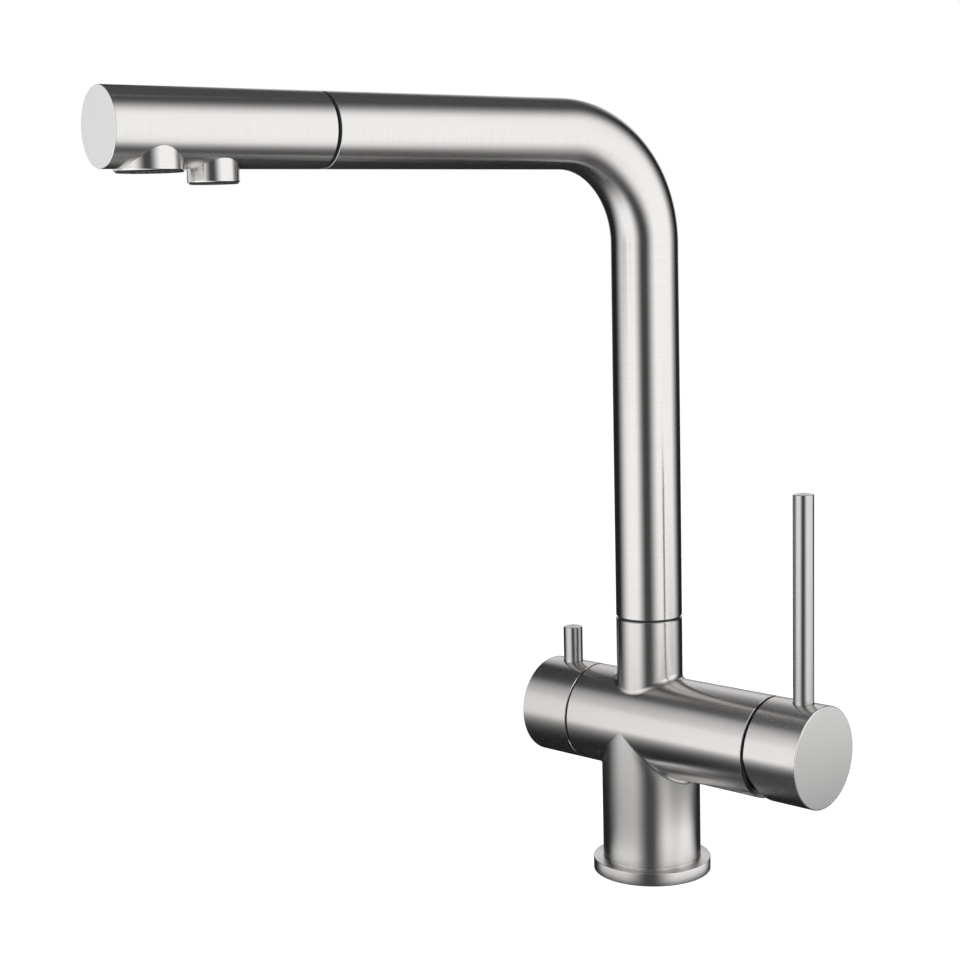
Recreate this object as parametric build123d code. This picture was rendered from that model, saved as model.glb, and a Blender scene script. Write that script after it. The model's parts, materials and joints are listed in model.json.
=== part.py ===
from build123d import *
import os
from math import asin, cos, degrees, radians, sin, sqrt

# Three-way kitchen tap in millimetres. The deck is z = 0, the column stands on the origin,
# the cross tube runs along X with the mixer at +X, and the spout points towards -Y.

# Clearances and cuts
fixed_clearance = 0.05
running_clearance = 0.06
loose_clearance = 0.3
cut_overrun = 1.0

# Body: column, cross tube and neck
tube_radius = 22.5
shell_wall = 2.0
cross_tube_height = 69.2
cross_tube_right_reach = 66.4
cross_tube_left_reach = 31.8
neck_radius = 15.0
neck_wall = 1.6
neck_rise = 49.6
blend_radius = 2.5
seam_chamfer = 0.35

# Flange and its seal
flange_radius = 27.0
flange_height = 5.9
flange_lip_height = 1.1
flange_chamfer = 0.3
flange_bore_gap = 0.15
base_seal_inner_radius = 22.2
base_seal_width = 2.6
base_seal_height = 1.5

# Inlet block, ports and pipes
block_height = 15.0
port_circle_radius = 15.2
port_hole_radius = 4.5
port_depth = 7.0
port_ceiling = 2.0
pipe_radius = 4.0
pipe_wall = 1.0
hose_way_radius = 9.3
stud_hole_radius = 3.4
stud_hole_depth = 12.0
right_port_angle = 40.0
left_port_angle = 150.0

# Brass core in the cross tube
core_end_recess = 2.0
pipe_socket_depth = 5.3
water_way_radius = 2.8
filter_way_radius = 2.0
inlet_way_rise = 2.0
outlet_way_drop = 1.5

# Mixing cartridge
cartridge_length = 30.0
cartridge_radius = 17.6
cartridge_base_height = 6.0
fixed_disc_radius = 15.8
fixed_disc_height = 3.5
moving_disc_radius = 13.6
moving_disc_height = 3.5
moving_disc_drop = 2.35
disc_pocket_radius = 8.4
disc_pocket_drop = 3.85
disc_pocket_depth = 1.5
disc_holder_radius = 13.5
disc_holder_height = 5.0
disc_holder_floor = 1.2
cartridge_nut_recess = 0.1
cartridge_cavity_radius = 16.2
cartridge_roof = 10.0
carrier_radius = 9.9
carrier_overreach = 4.5
carrier_slot_half_height = 7.6
stem_pivot_rise = 2.0
stem_pin_radius = 1.5
stem_pin_length = 17.0
stem_width = 7.9
stem_eye_height = 7.0
stem_eye_reach = 6.0
stem_foot_radius = 2.6
stem_foot_gap = 0.14
stem_square = 7.0
stem_end_setback = 6.0
port_seal_width = 1.3
port_seal_height = 1.0
nut_radius = 18.5
nut_bore_radius = 12.0
nut_height = 4.3
shroud_radius = 20.1
shroud_wall = 1.2
shroud_length = 10.6

# Mixer cap and lever
cap_seam_gap = 1.4
cap_length = 26.2
cap_wall = 2.0
cap_end_wall = 2.5
cap_relief = 6.0
cap_chamfer = 0.5
cap_boss_width = 16.0
cap_boss_length = 12.5
lever_radius = 4.5
lever_setback = 10.4
lever_rise = 112.7
lever_hole_gap = 0.25
lever_chamfer = 0.5
lever_tail_radius = 2.5
lever_tail_length = 3.4
grub_screw_radius = 2.5
grub_screw_length = 5.0
grub_socket_radius = 1.4
grub_socket_depth = 2.0

# Filter valve
valve_pocket_depth = 12.8
valve_pocket_radius = 12.0
seat_seal_height = 1.2
filter_disc_radius = 10.4
filter_disc_height = 3.6
filter_disc_bridge_depth = 1.4
filter_disc_bridge_share = 0.9
valve_cavity_radius = 10.6
valve_flange_radius = 14.5
valve_flange_height = 3.2
valve_neck_radius = 7.5
valve_neck_height = 5.0
spindle_radius = 4.0
spindle_flange_radius = 9.0
spindle_flange_height = 2.8
spindle_tongue_width = 3.0
spindle_tongue_depth = 1.2
spindle_end_setback = 7.0
spindle_seal_section = 0.75

# Filter knob and lever
knob_seam_gap = 0.8
knob_length = 26.4
knob_boss_width = 14.0
knob_boss_length = 16.0
filter_lever_setback = 12.8
filter_lever_rise = 39.0
filter_lever_tail_length = 2.6

# Spout swivel in the neck
swivel_gap = 0.9
swivel_rest_angle = 10.3
swivel_half_travel_angle = 110.0
spigot_radius = 12.4
spigot_bore_radius = 9.6
spigot_plug_height = 12.0
spigot_foot_gap = 1.9
bush_height = 6.4
slip_ring_radius = 14.2
spigot_seal_section = 0.85
spigot_seal_spacing = 9.0
stop_screw_radius = 2.0
stop_tip_radius = 1.4
stop_tip_gap = 0.3
stop_groove_depth = 1.2
stop_screw_recess = 0.4
stop_socket_depth = 0.8
stop_socket_radius = 1.0

# Spout tube
riser_wall = 1.3
arm_height = 335.1
bend_radius = 47.0
arm_reach = 165.5

# Hoses held inside
mixed_hose_radius = 5.5
mixed_hose_bore = 4.0
mixed_hose_offset = 3.4
filter_hose_radius = 3.2
filter_hose_bore = 2.2
filter_hose_offset = -5.6
hose_foot = 1.0
hose_join_run = 1.6
hose_join_gap = 0.3
ferrule_wall = 0.45
ferrule_height = 10.0

# Pull-out head
head_gap = 0.6
head_length = 92.1
head_wall = 1.4
end_cap_thickness = 1.6
end_cap_plug = 3.0
end_chamfer = 0.35
dock_sleeve_length = 24.0
dock_sleeve_recess = 0.8
dock_sleeve_wall = 1.55
dock_ring_section = 0.7
head_spigot_length = 16.0
head_spigot_bore = 9.6
head_spigot_collar = 9.0
waterway_setback = 14.9
mixed_way_radius = 3.6
head_filter_way_radius = 1.9
connector_length = 9.0
connector_tail = 6.0
check_valve_length = 6.0
check_valve_wall = 0.8
front_outlet_setback = 19.4
front_outlet_radius = 13.2
front_outlet_drop = 1.3
front_outlet_ceiling = 2.9
rear_outlet_setback = 45.5
rear_outlet_radius = 9.9
rear_outlet_drop = 5.6
rear_outlet_ceiling = 9.4
nozzle_wall = 1.5
nozzle_chamfer = 0.4
nozzle_seal_height = 1.0
aerator_recess = 1.0
aerator_height = 7.0
aerator_plate = 1.6
aerator_wall = 1.0
aerator_hole_radius = 0.9
aerator_ring_shares = (0.34, 0.68)
aerator_ring_counts = (6, 12)

# Sizes and places that follow from the ones above
column_foot = flange_height + flange_lip_height
tube_bore = tube_radius - shell_wall
core_radius = tube_bore - fixed_clearance
core_right = cross_tube_right_reach - core_end_recess
core_left = cross_tube_left_reach - core_end_recess
neck_top = cross_tube_height + neck_rise
neck_bore = neck_radius - neck_wall
pipe_bore = pipe_radius - pipe_wall
pipe_low = port_depth + port_ceiling
block_radius = core_radius
riser_radius = neck_radius
riser_bore = riser_radius - riser_wall
riser_foot = neck_top + swivel_gap
spigot_foot = cross_tube_height + tube_bore + spigot_foot_gap
lower_bush_foot = spigot_foot + fixed_clearance
upper_bush_foot = neck_top - bush_height - fixed_clearance
stop_height = (lower_bush_foot + bush_height + upper_bush_foot) / 2
cartridge_pocket_radius = cartridge_radius + fixed_clearance
nut_pocket_radius = nut_radius + fixed_clearance
cartridge_body_end = core_right - cartridge_nut_recess - nut_height
cartridge_floor = cartridge_body_end - cartridge_length
cartridge_cavity_end = cartridge_body_end - cartridge_roof
disc_plane = cartridge_floor + cartridge_base_height
holder_plane = disc_plane + fixed_disc_height + moving_disc_height + running_clearance
stem_pivot = cartridge_body_end + stem_pivot_rise
stem_foot = holder_plane + disc_holder_floor + stem_foot_radius + stem_foot_gap
carrier_reach = stem_pivot + carrier_overreach
shroud_mouth = core_right + shroud_length
cap_rim = cross_tube_right_reach + cap_seam_gap
cap_face = cap_rim + cap_length
cap_bore = tube_radius - cap_wall
cap_boss_start = cap_face - cap_end_wall - cap_boss_length
lever_place = cap_face - lever_setback
lever_top = cross_tube_height + lever_rise
stem_end = cap_face - stem_end_setback
knob_rim = cross_tube_left_reach + knob_seam_gap
knob_face = knob_rim + knob_length
knob_boss_start = knob_face - cap_end_wall - knob_boss_length
filter_lever_place = knob_face - filter_lever_setback
filter_lever_top = cross_tube_height + filter_lever_rise
spindle_end = knob_face - spindle_end_setback
valve_pocket_floor = core_left - valve_pocket_depth
hidden_plane = valve_pocket_floor + seat_seal_height
turning_disc_plane = hidden_plane + filter_disc_height + running_clearance
spindle_plane = turning_disc_plane + filter_disc_height
valve_ceiling = spindle_plane + spindle_flange_height + loose_clearance
valve_flange_face = core_left + valve_flange_height
head_start = arm_reach + head_gap
tip_reach = head_start + head_length
head_plug_start = tip_reach - end_cap_thickness - end_cap_plug
head_bore = riser_radius - head_wall
waterway_radius = head_bore - fixed_clearance
waterway_start = head_start + waterway_setback
waterway_end = head_plug_start - loose_clearance
front_outlet_place = tip_reach - front_outlet_setback
rear_outlet_place = tip_reach - rear_outlet_setback
dock_bore = riser_bore - fixed_clearance - dock_sleeve_wall
head_spigot_radius = dock_bore - running_clearance
mixed_hose_height = arm_height + mixed_hose_offset
filter_hose_height = arm_height + filter_hose_offset
hose_join = bend_radius + mixed_hose_offset + hose_join_run

standing = (Align.CENTER, Align.CENTER, Align.MIN)


def upright(radius, low, high, x=0.0, y=0.0):
    """Round bar along Z between two heights."""
    return Pos(x, y, low) * Cylinder(radius, high - low, align=standing)


def across(radius, left, right, y=0.0, z=cross_tube_height):
    """Round bar along X between two places."""
    return Pos(left, y, z) * Rot(0, 90, 0) * Cylinder(radius, right - left, align=standing)


def along_arm(radius, start, end, height=arm_height):
    """Round bar along the arm, before the spout is turned to its rest position."""
    return Pos(0, -start, height) * Rot(90, 0, 0) * Cylinder(radius, end - start, align=standing)


def outward(radius, start, end, height):
    """Round bar along +Y from the column's axis, at a height in the neck's back."""
    return Pos(0, start, height) * Rot(-90, 0, 0) * Cylinder(radius, end - start, align=standing)


def square_bar(left, right, width, depth, z=cross_tube_height):
    """Bar along X with a width in Y and a depth in Z, centred on a height."""
    middle = (left + right) / 2
    return Pos(middle, 0, z) * Box(right - left, width, depth)


def turned(shape):
    """Spout pieces stand turned on the neck, as the spout is left in use."""
    return Rot(0, 0, -swivel_rest_angle) * shape


def port_places():
    """Name, place and way of each pipe: hot, mixed and cold on the right, filtered on the left."""
    angles = {
        "hot_pipe": right_port_angle,
        "mixed_pipe": 0.0,
        "cold_pipe": -right_port_angle,
        "filter_inlet_pipe": left_port_angle,
        "filter_outlet_pipe": -left_port_angle,
    }
    places = {}
    for name, angle in angles.items():
        x = port_circle_radius * cos(radians(angle))
        y = port_circle_radius * sin(radians(angle))
        places[name] = (x, y)
    return places


ports = port_places()


def body_shell():
    """Column, cross tube and neck, welded and ground into one shell, open at every end."""
    shell = upright(tube_radius, column_foot, cross_tube_height)
    shell += across(tube_radius, -cross_tube_left_reach, cross_tube_right_reach)
    shell += upright(neck_radius, cross_tube_height, neck_top)
    neck_weld = []
    weld_top = cross_tube_height + tube_radius + cut_overrun
    for edge in shell.edges():
        box = edge.bounding_box()
        if box.min.Z > cross_tube_height and box.max.Z < weld_top:
            neck_weld.append(edge)
    shell = fillet(neck_weld, blend_radius)
    shell = chamfer(seam_edges(shell), seam_chamfer)
    shell -= upright(tube_bore, column_foot - cut_overrun, cross_tube_height)
    open_left = -cross_tube_left_reach - cut_overrun
    open_right = cross_tube_right_reach + cut_overrun
    shell -= across(tube_bore, open_left, open_right)
    shell -= upright(neck_bore, cross_tube_height, neck_top + cut_overrun)
    screw_thread = stop_screw_radius + fixed_clearance
    shell -= outward(screw_thread, 0.0, neck_radius + cut_overrun, stop_height)
    return shell


def seam_edges(shell):
    """Outer edges where the neck meets the riser and the cross tube meets cap and knob."""
    found = []
    for edge in shell.edges().filter_by(GeomType.CIRCLE):
        centre = edge.arc_center
        at_neck = abs(centre.Z - neck_top) < fixed_clearance
        at_right = abs(centre.X - cross_tube_right_reach) < fixed_clearance
        at_left = abs(centre.X + cross_tube_left_reach) < fixed_clearance
        if at_neck or at_right or at_left:
            found.append(edge)
    return found


def base_flange():
    """Deck flange, turned from bar, with a low lip that carries the column."""
    flange = upright(flange_radius, 0.0, flange_height)
    rim = flange.edges().filter_by(GeomType.CIRCLE).sort_by(Axis.Z)[-1]
    flange = chamfer(rim, flange_chamfer)
    flange += upright(tube_radius, 0.0, column_foot)
    flange -= upright(block_radius + flange_bore_gap, -cut_overrun, column_foot + cut_overrun)
    groove_inner = base_seal_inner_radius - fixed_clearance
    groove_outer = base_seal_inner_radius + base_seal_width + fixed_clearance
    groove_top = base_seal_height + fixed_clearance
    groove = upright(groove_outer, -cut_overrun, groove_top)
    return flange - (groove - upright(groove_inner, -cut_overrun, groove_top))


def base_seal():
    """Rubber ring in the flange's groove, pressed flush with the deck."""
    outer = base_seal_inner_radius + base_seal_width
    return upright(outer, 0.0, base_seal_height) - upright(base_seal_inner_radius, 0.0, base_seal_height)


def inlet_block():
    """Brass block in the column's foot: five threaded ports, two stud holes and the hose way."""
    block = upright(block_radius, 0.0, block_height)
    block -= upright(hose_way_radius, -cut_overrun, block_height + cut_overrun)
    for x, y in ports.values():
        block -= upright(port_hole_radius, -cut_overrun, port_depth, x, y)
        block -= upright(water_way_radius, 0.0, block_height, x, y)
        block -= upright(pipe_radius + fixed_clearance, pipe_low, block_height + cut_overrun, x, y)
    for side in (-1, 1):
        block -= upright(stud_hole_radius, -cut_overrun, stud_hole_depth, 0.0, side * port_circle_radius)
    return block


def pipe_top(y):
    """Height of a pipe's upper end, seated in the core above its rounded underside."""
    return cross_tube_height - sqrt(core_radius**2 - y**2) + pipe_socket_depth


def straight_pipe(x, y):
    """Copper pipe from the block up into the core."""
    low = pipe_low + fixed_clearance
    high = pipe_top(y) - fixed_clearance
    return upright(pipe_radius, low, high, x, y) - upright(pipe_bore, low, high, x, y)


def inlet_way_height(name):
    """Height at which each way of the core turns towards its valve."""
    if name == "mixed_pipe":
        return cross_tube_height - outlet_way_drop
    if name in ("hot_pipe", "cold_pipe"):
        return cross_tube_height + inlet_way_rise
    return cross_tube_height


def valve_core():
    """Brass casting that fills the cross tube: cartridge pocket, filter valve pocket and water ways."""
    core = across(core_radius, -core_left, core_right)
    core -= upright(hose_way_radius, 0.0, neck_top)
    core -= across(cartridge_pocket_radius, cartridge_floor, core_right + cut_overrun)
    core -= across(nut_pocket_radius, cartridge_body_end, core_right + cut_overrun)
    core -= across(valve_pocket_radius, -core_left - cut_overrun, -valve_pocket_floor)
    for name, (x, y) in ports.items():
        turn_height = inlet_way_height(name)
        on_right = x > 0
        way_radius = water_way_radius if on_right else filter_way_radius
        core -= upright(pipe_radius + fixed_clearance, 0.0, pipe_top(y), x, y)
        core -= upright(way_radius, 0.0, turn_height, x, y)
        core -= Pos(x, y, turn_height) * Sphere(way_radius)
        if on_right:
            core -= across(way_radius, x, cartridge_floor + cut_overrun, y, turn_height)
        else:
            core -= across(way_radius, -valve_pocket_floor - cut_overrun, x, y, turn_height)
    return core


def cartridge_way_places():
    """Place of the hot, cold and mixed ways on the cartridge's floor."""
    return [(ports[name][1], inlet_way_height(name)) for name in ("hot_pipe", "cold_pipe", "mixed_pipe")]


def cartridge_base():
    """Floor of the cartridge with its three ways and a recess round each for a seal."""
    base = across(cartridge_radius, cartridge_floor + fixed_clearance, disc_plane)
    for y, z in cartridge_way_places():
        base -= across(water_way_radius, cartridge_floor, disc_plane + cut_overrun, y, z)
        recess = water_way_radius + port_seal_width + fixed_clearance
        recess_end = cartridge_floor + port_seal_height + fixed_clearance
        base -= across(recess, cartridge_floor - cut_overrun, recess_end, y, z)
    return base


def cartridge_seals():
    """Three rubber rings between the cartridge and the core's floor."""
    rings = []
    start = cartridge_floor + fixed_clearance
    end = cartridge_floor + port_seal_height
    for y, z in cartridge_way_places():
        outer = across(water_way_radius + port_seal_width, start, end, y, z)
        rings.append(outer - across(water_way_radius, start, end, y, z))
    return rings


def cartridge_fixed_disc():
    """Lapped ceramic disc with the three ways."""
    disc = across(fixed_disc_radius, disc_plane, disc_plane + fixed_disc_height)
    for y, z in cartridge_way_places():
        disc -= across(water_way_radius, disc_plane - cut_overrun, holder_plane, y, z)
    return disc


def cartridge_moving_disc():
    """Upper ceramic disc, closed when low: its round pocket joins the ways when it slides up."""
    start = disc_plane + fixed_disc_height + running_clearance
    disc_centre = cross_tube_height - moving_disc_drop
    disc = across(moving_disc_radius, start, start + moving_disc_height, 0.0, disc_centre)
    pocket_height = cross_tube_height - disc_pocket_drop
    disc -= across(disc_pocket_radius, start - cut_overrun, start + disc_pocket_depth, 0.0, pocket_height)
    return disc


def cartridge_disc_holder():
    """Plastic holder on the moving disc, with a socket for the foot of the stem."""
    end = holder_plane + disc_holder_height
    holder = across(disc_holder_radius, holder_plane, end, 0.0, cross_tube_height - moving_disc_drop)
    socket_radius = stem_foot_radius + loose_clearance
    holder -= across(socket_radius, holder_plane + disc_holder_floor, end + cut_overrun)
    return holder


def cartridge_body():
    """Plastic cup of the cartridge, held down by the nut."""
    body = across(cartridge_radius, disc_plane, cartridge_body_end)
    body -= across(cartridge_cavity_radius, disc_plane - cut_overrun, cartridge_cavity_end)
    body -= across(carrier_radius + running_clearance, cartridge_floor, cartridge_body_end + cut_overrun)
    return body


def cartridge_carrier():
    """Slotted plastic spindle that turns with the lever and holds the pin."""
    start = cartridge_cavity_end + loose_clearance
    carrier = across(carrier_radius, start, carrier_reach)
    slot_width = stem_width + loose_clearance
    slot_depth = 2 * carrier_slot_half_height
    carrier -= square_bar(start - cut_overrun, carrier_reach + cut_overrun, slot_width, slot_depth)
    carrier -= pin_bar(stem_pin_radius + fixed_clearance, 2 * carrier_radius)
    return carrier


def pin_bar(radius, length):
    """Round bar along Y through the stem's pivot."""
    return Pos(stem_pivot, 0, cross_tube_height) * Rot(90, 0, 0) * Cylinder(radius, length)


def cartridge_pin():
    """Steel pin on which the stem tilts."""
    return pin_bar(stem_pin_radius, stem_pin_length)


def cartridge_stem():
    """Steel stem: round foot in the disc holder, eye on the pin and a square end in the cap."""
    stem = across(stem_foot_radius, stem_foot, stem_pivot)
    stem += Pos(stem_foot, 0, cross_tube_height) * Sphere(stem_foot_radius)
    eye_start = stem_pivot - stem_eye_reach
    eye_end = stem_pivot + stem_eye_reach
    stem += square_bar(eye_start, eye_end, stem_width, stem_eye_height)
    stem += square_bar(stem_pivot, stem_end, stem_square, stem_square)
    stem -= pin_bar(stem_pin_radius + running_clearance, stem_pin_length)
    return stem


def cartridge_nut():
    """Brass ring screwed into the core over the cartridge."""
    end = cartridge_body_end + nut_height
    return across(nut_radius, cartridge_body_end, end) - across(nut_bore_radius, cartridge_body_end, end)


def cartridge_shroud():
    """Polished dome round the stem, centred on the pivot so that the cap tilts over it."""
    ring = Circle(shroud_radius) - Circle(shroud_radius - shroud_wall)
    foot = core_right - stem_pivot
    depth = shroud_mouth - core_right
    zone = ring & Pos(foot + depth / 2, tube_radius / 2) * Rectangle(depth, tube_radius)
    section = Pos(stem_pivot, 0, cross_tube_height) * (Plane.XZ * zone)
    cross_axis = Axis((0, 0, cross_tube_height), (1, 0, 0))
    return revolve(section, axis=cross_axis)


def mixer_cap():
    """Steel cap, turned and bored, with a square boss for stem and lever and its lower rim cut back."""
    cap = across(tube_radius, cap_rim, cap_face)
    rims = cap.edges().filter_by(GeomType.CIRCLE).sort_by(Axis.X)
    cap = chamfer([rims[-1]], cap_chamfer)
    cap -= across(cap_bore, cap_rim - cut_overrun, cap_face - cap_end_wall)
    boss_end = cap_face - cap_end_wall + fixed_clearance
    cap += square_bar(cap_boss_start, boss_end, cap_boss_width, cap_boss_width)
    cap -= relief_wedge()
    socket = stem_square + 2 * fixed_clearance
    cap -= square_bar(cap_boss_start - cut_overrun, stem_end + fixed_clearance, socket, socket)
    boss_top = cross_tube_height + cap_boss_width / 2
    hole_radius = lever_radius + lever_hole_gap
    cap -= upright(hole_radius, boss_top, cross_tube_height + tube_radius + cut_overrun, lever_place)
    thread_hole = lever_tail_radius + fixed_clearance
    cap -= upright(thread_hole, cross_tube_height, boss_top + cut_overrun, lever_place)
    screw_hole = grub_screw_radius + fixed_clearance
    cap -= upright(screw_hole, cross_tube_height - tube_radius - cut_overrun, cross_tube_height, lever_place)
    return cap


def relief_wedge():
    """Slanted cut from mid-height to the bottom of the cap's rim, which lets the cap tilt."""
    slope = (cap_relief + cap_relief * cut_overrun / tube_radius, -tube_radius - cut_overrun)
    outline = Polyline((0, 0), (-cut_overrun, 0), (-cut_overrun, slope[1]), slope, close=True)
    face = Plane.XZ * make_face(outline)
    return Pos(cap_rim, 0, cross_tube_height) * extrude(face, amount=tube_radius + cut_overrun, both=True)


def round_lever(place, top, boss_width, tail_length):
    """Steel rod that stands on a boss, with a threaded tail in it."""
    foot = cross_tube_height + boss_width / 2
    rod = upright(lever_radius, foot, top, place)
    rims = rod.edges().filter_by(GeomType.CIRCLE).sort_by(Axis.Z)
    rod = chamfer(rims[-1], lever_chamfer)
    return rod + upright(lever_tail_radius, foot - tail_length, foot + lever_chamfer, place)


def mixer_lever():
    """Long lever of the mixer."""
    return round_lever(lever_place, lever_top, cap_boss_width, lever_tail_length)


def filter_lever():
    """Short lever of the filter valve."""
    return round_lever(-filter_lever_place, filter_lever_top, knob_boss_width, filter_lever_tail_length)


def grub_screw(place, seat):
    """Socket screw pointing up, whose tip stands at a height below the axis."""
    tip = cross_tube_height - seat - fixed_clearance
    screw = upright(grub_screw_radius, tip - grub_screw_length, tip, place)
    foot = tip - grub_screw_length
    return screw - upright(grub_socket_radius, foot - cut_overrun, foot + grub_socket_depth, place)


def mixer_grub_screw():
    """Clamps the cap on the stem from below."""
    return grub_screw(lever_place, stem_square / 2)


def filter_knob_screw():
    """Clamps the knob on the spindle from below."""
    return grub_screw(-filter_lever_place, spindle_radius)


def filter_way_places():
    """Place of the two filtered water ways on the valve's floor."""
    return [(ports[name][1], cross_tube_height) for name in ("filter_inlet_pipe", "filter_outlet_pipe")]


def pierced_disc(radius, start, height):
    """Round plate of the filter valve with its two ways, lying to the left of a place."""
    disc = across(radius, -start - height, -start)
    for y, z in filter_way_places():
        disc -= across(filter_way_radius, -start - height - cut_overrun, -start + cut_overrun, y, z)
    return disc


def filter_seat_seal():
    """Rubber plate under the fixed disc."""
    return pierced_disc(filter_disc_radius, valve_pocket_floor, seat_seal_height)


def filter_fixed_disc():
    """Fixed ceramic disc of the filter valve."""
    return pierced_disc(filter_disc_radius, hidden_plane, filter_disc_height)


def filter_moving_disc():
    """Turning ceramic disc: its groove joins both ways after a quarter turn."""
    disc = across(filter_disc_radius, -spindle_plane, -turning_disc_plane)
    groove_width = 2 * filter_way_radius
    groove_length = 2 * filter_disc_radius * filter_disc_bridge_share
    groove_floor = -turning_disc_plane - filter_disc_bridge_depth
    disc -= square_bar(groove_floor, -turning_disc_plane + cut_overrun, groove_width, groove_length)
    slot_width = spindle_tongue_width + 2 * fixed_clearance
    slot_floor = -spindle_plane + spindle_tongue_depth + fixed_clearance
    disc -= square_bar(-spindle_plane - cut_overrun, slot_floor, 2 * filter_disc_radius, slot_width)
    return disc


def filter_spindle():
    """Brass spindle with a tongue that turns the disc."""
    spindle = across(spindle_radius, -spindle_end, -spindle_plane)
    flange_start = -spindle_plane - spindle_flange_height
    spindle += across(spindle_flange_radius, flange_start, -spindle_plane)
    tongue_end = -spindle_plane + spindle_tongue_depth
    spindle += square_bar(flange_start, tongue_end, spindle_flange_radius, spindle_tongue_width)
    groove = spindle_seal_groove_radius()
    half = spindle_seal_section + fixed_clearance
    place = spindle_seal_place()
    band = across(spindle_radius + cut_overrun, place - half, place + half)
    return spindle - (band - across(groove, place - half, place + half))


def spindle_seal_place():
    """Middle of the seal, in the valve's wall."""
    return -(valve_ceiling + valve_flange_face) / 2


def spindle_seal_groove_radius():
    """Bottom of the spindle's seal groove."""
    return spindle_radius - 2 * spindle_seal_section


def spindle_seal():
    """Rubber ring on the spindle."""
    ring_radius = spindle_radius + running_clearance / 2 - spindle_seal_section
    ring = Rot(0, 90, 0) * Torus(ring_radius, spindle_seal_section)
    return Pos(spindle_seal_place(), 0, cross_tube_height) * ring


def filter_valve_body():
    """Brass headwork, screwed into the core, that holds the discs and guides the spindle."""
    threaded_radius = valve_pocket_radius - fixed_clearance
    body = across(threaded_radius, -core_left, -valve_pocket_floor - fixed_clearance)
    body += across(valve_flange_radius, -valve_flange_face, -core_left)
    body += across(valve_neck_radius, -valve_flange_face - valve_neck_height, -core_left)
    body -= across(valve_cavity_radius, -valve_ceiling, -valve_pocket_floor + cut_overrun)
    body -= across(spindle_radius + running_clearance, -spindle_end, -valve_pocket_floor)
    return body


def filter_knob():
    """Steel knob, turned and bored, with a boss for spindle and lever."""
    knob = across(tube_radius, -knob_face, -knob_rim)
    rims = knob.edges().filter_by(GeomType.CIRCLE).sort_by(Axis.X)
    knob = chamfer([rims[0]], cap_chamfer)
    knob -= across(cap_bore, -knob_face + cap_end_wall, -knob_rim + cut_overrun)
    boss_end = -knob_face + cap_end_wall - fixed_clearance
    knob += square_bar(boss_end, -knob_boss_start, knob_boss_width, knob_boss_width)
    socket_floor = -spindle_end - fixed_clearance
    knob -= across(spindle_radius + fixed_clearance, socket_floor, -knob_boss_start + cut_overrun)
    boss_top = cross_tube_height + knob_boss_width / 2
    hole_radius = lever_radius + lever_hole_gap
    place = -filter_lever_place
    knob -= upright(hole_radius, boss_top, cross_tube_height + tube_radius + cut_overrun, place)
    knob -= upright(lever_tail_radius + fixed_clearance, cross_tube_height, boss_top + cut_overrun, place)
    screw_hole = grub_screw_radius + fixed_clearance
    knob -= upright(screw_hole, cross_tube_height - tube_radius - cut_overrun, cross_tube_height, place)
    return knob


def neck_bush(low):
    """Plastic bush pressed in the neck, in which the spigot turns."""
    outer = neck_bore - fixed_clearance
    inner = spigot_radius + running_clearance
    return upright(outer, low, low + bush_height) - upright(inner, low, low + bush_height)


def lower_bush():
    """Bush at the foot of the spigot."""
    return neck_bush(lower_bush_foot)


def upper_bush():
    """Bush at the top of the neck."""
    return neck_bush(upper_bush_foot)


def slip_ring():
    """Dark plastic ring in the seam, on which the riser slides round."""
    low = neck_top
    high = riser_foot - fixed_clearance
    inner = spigot_radius + running_clearance
    return upright(slip_ring_radius, low, high) - upright(inner, low, high)


def seal_heights():
    """Heights of the two rings on the spigot, one each side of the stop."""
    return (stop_height - spigot_seal_spacing / 2, stop_height + spigot_seal_spacing / 2)


def stop_groove():
    """Part of a ring in the spigot: its two ends meet the stop screw and limit the swivel."""
    floor = spigot_radius - stop_groove_depth
    half_angle = degrees(asin((stop_tip_radius + stop_tip_gap) / floor))
    height = 2 * (stop_tip_radius + stop_tip_gap)
    depth = stop_groove_depth + cut_overrun
    section = Plane.XZ * Pos(floor + depth / 2, stop_height) * Rectangle(depth, height)
    travel = 2 * swivel_half_travel_angle + 2 * half_angle
    start = 90 - swivel_half_travel_angle - half_angle
    return Rot(0, 0, start) * revolve(section, axis=Axis.Z, revolution_arc=travel)


def spout_spigot():
    """Brass spigot, soldered into the riser, that turns in the neck."""
    spigot = upright(spigot_radius, spigot_foot, riser_foot)
    spigot += upright(riser_bore - fixed_clearance, riser_foot, riser_foot + spigot_plug_height)
    plug_top = riser_foot + spigot_plug_height
    spigot -= upright(spigot_bore_radius, spigot_foot - cut_overrun, plug_top + cut_overrun)
    half = spigot_seal_section + fixed_clearance
    groove = neck_bore - 2 * spigot_seal_section - 2 * fixed_clearance
    for height in seal_heights():
        band = upright(spigot_radius + cut_overrun, height - half, height + half)
        spigot -= band - upright(groove, height - half, height + half)
    return turned(spigot - stop_groove())


def spigot_seals():
    """Two rubber rings that keep the swivel from rattling."""
    ring_radius = neck_bore - fixed_clearance - spigot_seal_section
    return [Pos(0, 0, height) * Torus(ring_radius, spigot_seal_section) for height in seal_heights()]


def spout_stop_screw():
    """Grub screw through the back of the neck, with its tip in the spigot's groove."""
    tip = spigot_radius - stop_groove_depth + stop_tip_gap
    shoulder = spigot_radius + stop_tip_gap
    end = neck_radius - stop_screw_recess
    screw = outward(stop_screw_radius, shoulder, end, stop_height)
    screw += outward(stop_tip_radius, tip, end, stop_height)
    return screw - outward(stop_socket_radius, end - stop_socket_depth, neck_radius, stop_height)


def bent_bar(radius, offset, low, reach):
    """Round bar that follows the riser, the bend and the arm, offset to the outside of the bend."""
    height = arm_height + offset
    start = (0, offset, low)
    path = FilletPolyline(start, (0, offset, height), (0, -reach, height), radius=bend_radius + offset)
    return sweep(Plane(origin=start, z_dir=(0, 0, 1)) * Circle(radius), path=path)


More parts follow.
